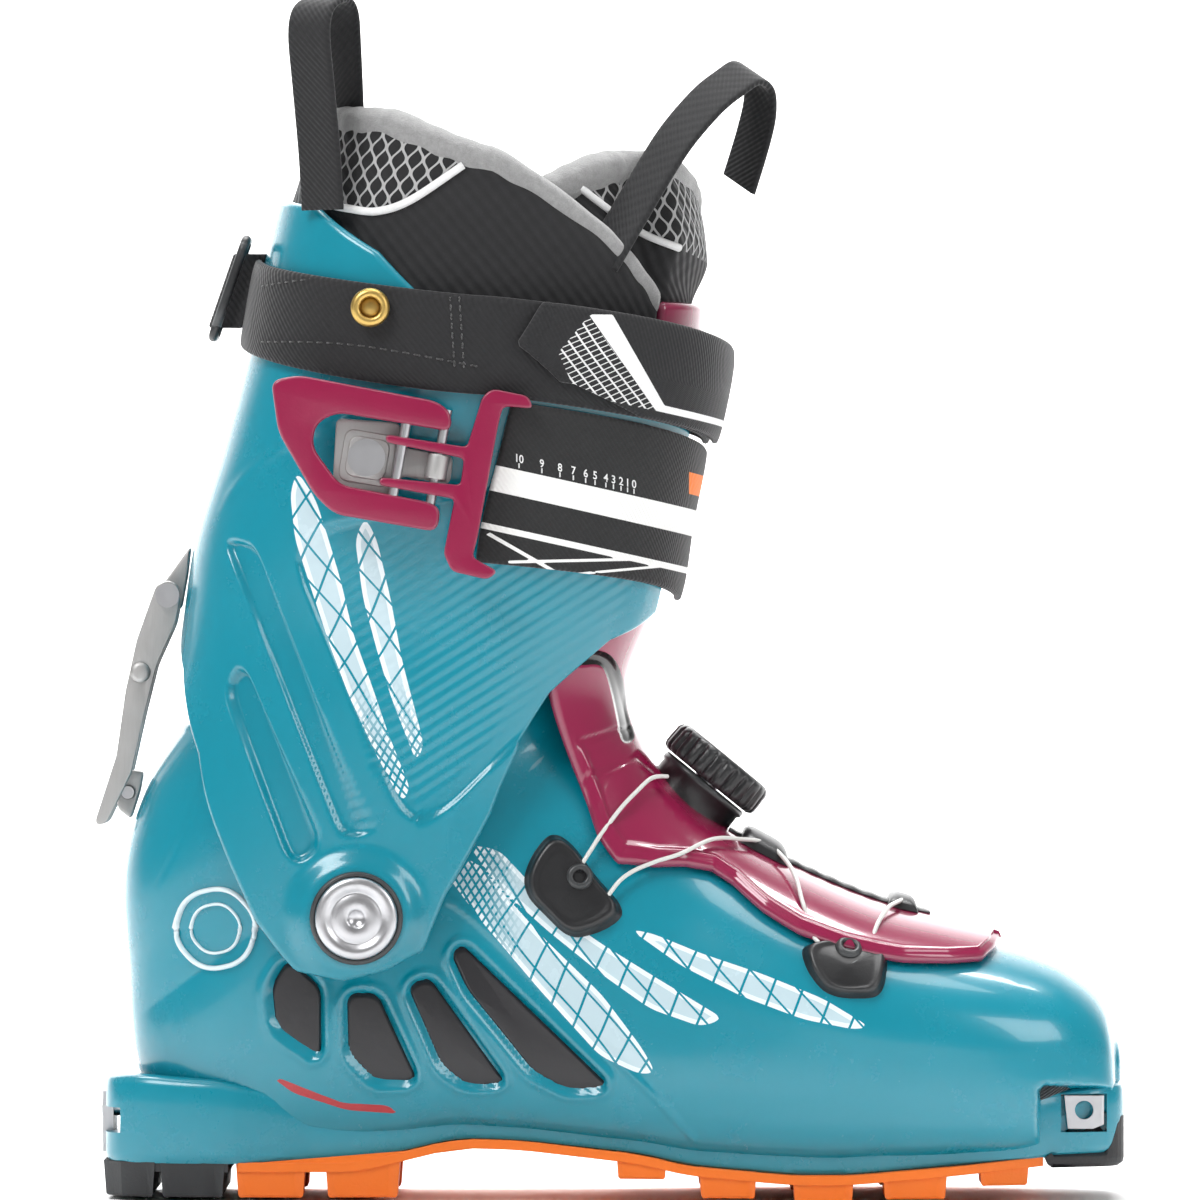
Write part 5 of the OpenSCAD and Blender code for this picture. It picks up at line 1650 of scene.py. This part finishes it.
# Buckle, pivots and walk lever
hardware = {
    "lever": [(-93.3, 228.3), (-85.7, 229.8), (-47.6, 222.6), (-43.6, 219.5), (-43.6, 214.2), (-75, 219.5),
              (-81, 216.5),
              (-82, 210), (-74.4, 199.5), (-50, 194.8), (-46.5, 193), (-47.5, 186.5), (-75.8, 191.4),
              (-81.4, 196.7), (-91.3, 214)],
    "frame": [(-61.5, 213.4), (-47.6, 211.2), (-39.2, 209.9), (-34.9, 224), (-32.1, 226), (-22.3, 224),
              (-20.9, 220.6),
              (-29.3, 221.2), (-30.7, 215.6), (-36.4, 184.6), (-37.8, 179.5), (-30.7, 175.6), (-33.5, 173.3),
              (-43.4, 175.6),
              (-45.7, 180.4), (-42.6, 195.6), (-63.5, 199.4), (-63.2, 201.6), (-41, 199.4), (-40, 206.8),
              (-61.7, 211.3)],
    "base": [(-76.5, 197.4), (-60, 194.8), (-58, 202), (-44, 199.6), (-43, 207.5), (-58, 210.2),
             (-57.5, 216.6), (-75.4, 218)],
    "walk": [(-121.3, 172.2), (-124, 173.3), (-127.2, 171.8), (-128.6, 168), (-132.7, 156.4),
             (-135.8, 142.3), (-138.4, 124),
             (-144.3, 105.7), (-143.8, 104.4), (-141, 105), (-134, 119.5), (-130.4, 135.8), (-127, 149.4),
             (-121.8, 161), (-120.4, 168)],
    "bracket": [(-120.3, 165), (-126.5, 165.5), (-127.6, 169.5), (-124.5, 173.5), (-117.6, 183),
                (-118.5, 175)],
    "latch": [(-131.9, 114), (-130.9, 119.4), (-135.5, 120), (-138.6, 115), (-138.2, 109), (-134.5, 106)],
    "knuckle": [(1.6, -3.4), (3, -3.4), (3.1, -3), (3.1, 3), (3, 3.4), (1.6, 3.4), (1.6, -3.4)],
    "bolt": [(0, 50.85), (11.4, 50.85), (11.4, 53.1), (10.9, 53.8), (9.4, 54), (8.1, 53.7), (7.4, 52.9),
             (6.9, 52.7),
             (6.6, 53), (3, 53), (2.3, 52.7), (1.9, 51.6), (0, 51.6)],
    "seal": [(11.45, 50.8), (12.9, 50.8), (12.9, 51.5), (12.3, 52), (11.6, 52), (11.45, 50.8)],
    "rivet": [(0, 6.8), (2.6, 6.8), (2.9, 9.1), (2.7, 9.7), (1.6, 10), (0, 10)],
    "tie": [(0, -7), (2.2, -7), (2.2, 7), (0, 7)], "rivetAt": (-131.6, 147.4)}


def addBuckle():
    lever = addPlate("lever_plate", softened(hardware["lever"], 3, 6), -62.4, -57.7, 0.9)
    finishPiece(lever, "buckle_lever", materials["anodised"], "tongue_plastic", "buckle_lever")
    catch = addPlate("frame_plate", softened(hardware["frame"], 1.6, 5), -62.3, -58.7, 0.6)
    finishPiece(catch, "buckle_frame", materials["anodised"], "tongue_plastic", "buckle_frame")
    plates = [addPlate("plate", softened(hardware["base"], 2, 5), -57.1, -55.3, 0.4)]
    for width, y in ((14.5, -57.6), (11.4, -58.2)):
        square = roundedRect(width, width, 3) @ np.array([[0.985, -0.17], [0.17, 0.985]]) + np.array([-66.8,
                                                                                                      206.9])
        plates.append(addPlate("step", square, y, y + 1.2, 0.35))
    tilt = math.radians(10.5)
    way = np.array([math.sin(tilt), 0, math.cos(tilt)])
    knuckle = np.array([-47.5, -59.5, 204.5])
    plates.append(addTurned("knuckle", knuckle, way, hardware["knuckle"], 32))
    obj = joinObjects("buckle_plate", plates)
    finishPiece(obj, "cuff", materials["brushed"], "steel", "buckle_base")


def addPivots():
    for label, side in (("lateral", -1), ("medial", 1)):
        centre = (pivot[0], 0, pivot[1])
        bolt = addTurned("pivot_head_" + label, centre, (0, side, 0), hardware["bolt"], 96)
        finishPiece(bolt, "shell", materials["steel"], "steel", "pivot_bolt_" + label)
        rim = addTurned("pivot_seal_" + label, centre, (0, side, 0), hardware["seal"], 96)
        finishPiece(rim, "shell", materials["black"], "black_plastic", "pivot_bolt_" + label)


def circleAt(x, z, radius):
    turn = np.linspace(0, 2 * math.pi, 24, endpoint=False)
    return [(x + radius * math.cos(t), z + radius * math.sin(t)) for t in turn]


def addWalkLever():
    x, z = hardware["rivetAt"]
    parts = []
    for side in (-1, 1):
        low, high = sorted((side * 7, side * 9))
        parts.append(addPlate("cheek", softened(hardware["walk"], 1.2, 4), low, high, 0.35,
                              [circleAt(x, z, 1.3)]))
        parts.append(addTurned("rivet", (x, 0, z), (0, side, 0), hardware["rivet"], 32))
    parts.append(addTurned("tie", (x, 0, z), (0, 1, 0), hardware["tie"], 32))
    finishPiece(joinObjects("walk_lever_cheeks", parts), "walk_lever", materials["brushed"], "steel",
                "walk_lever")
    hole = circleAt(-124, 169, 2.35)
    block = addPlate("lever_mount", softened(hardware["bracket"], 1.4, 4), -4.5, 4.5, 0.5, [hole])
    finishPiece(block, "cuff", materials["brushed"], "steel", "lever_bracket")
    hole = circleAt(-135.3, 113.6, 1.85)
    block = addPlate("latch_mount", softened(hardware["latch"], 1.2, 4), -4.5, 4.5, 0.5, [hole])
    finishPiece(block, "shell", materials["brushed"], "steel", "latch_bracket")


# Looks and edge rounding for the pieces kept from the model
def dressNodes():
    looks = {"toe_insert": ("steel", 0.4), "heel_insert": ("steel", 0.3), "sole_screws": ("steel", 0.3),
             "footboard": ("cream", 0.6),
             "footbed": ("foam", 0.8), "dial_core": ("steel", 0.2), "lace_spool": ("black", 0.2),
             "pivot_bushes": ("cream", 0.2),
             "latch_pin": ("steel", 0.2), "lever_pin": ("steel", 0.3), "frame_pins": ("steel", 0.3),
             "walk_lever_pin": ("steel", 0.3), "lever_spring": ("brushed", 0.3),
             "strap_rivets": ("steel", 0.3),
             "buckle_rivet": ("steel", 0.5)}
    for name, (look, width) in looks.items():
        obj = bpy.data.objects[name]
        obj.data.materials.clear()
        obj.data.materials.append(materials[look])
        addBevel(obj, width, 2, 40)


addBuckle()
addPivots()
addWalkLever()
dressNodes()
print("hardware built")
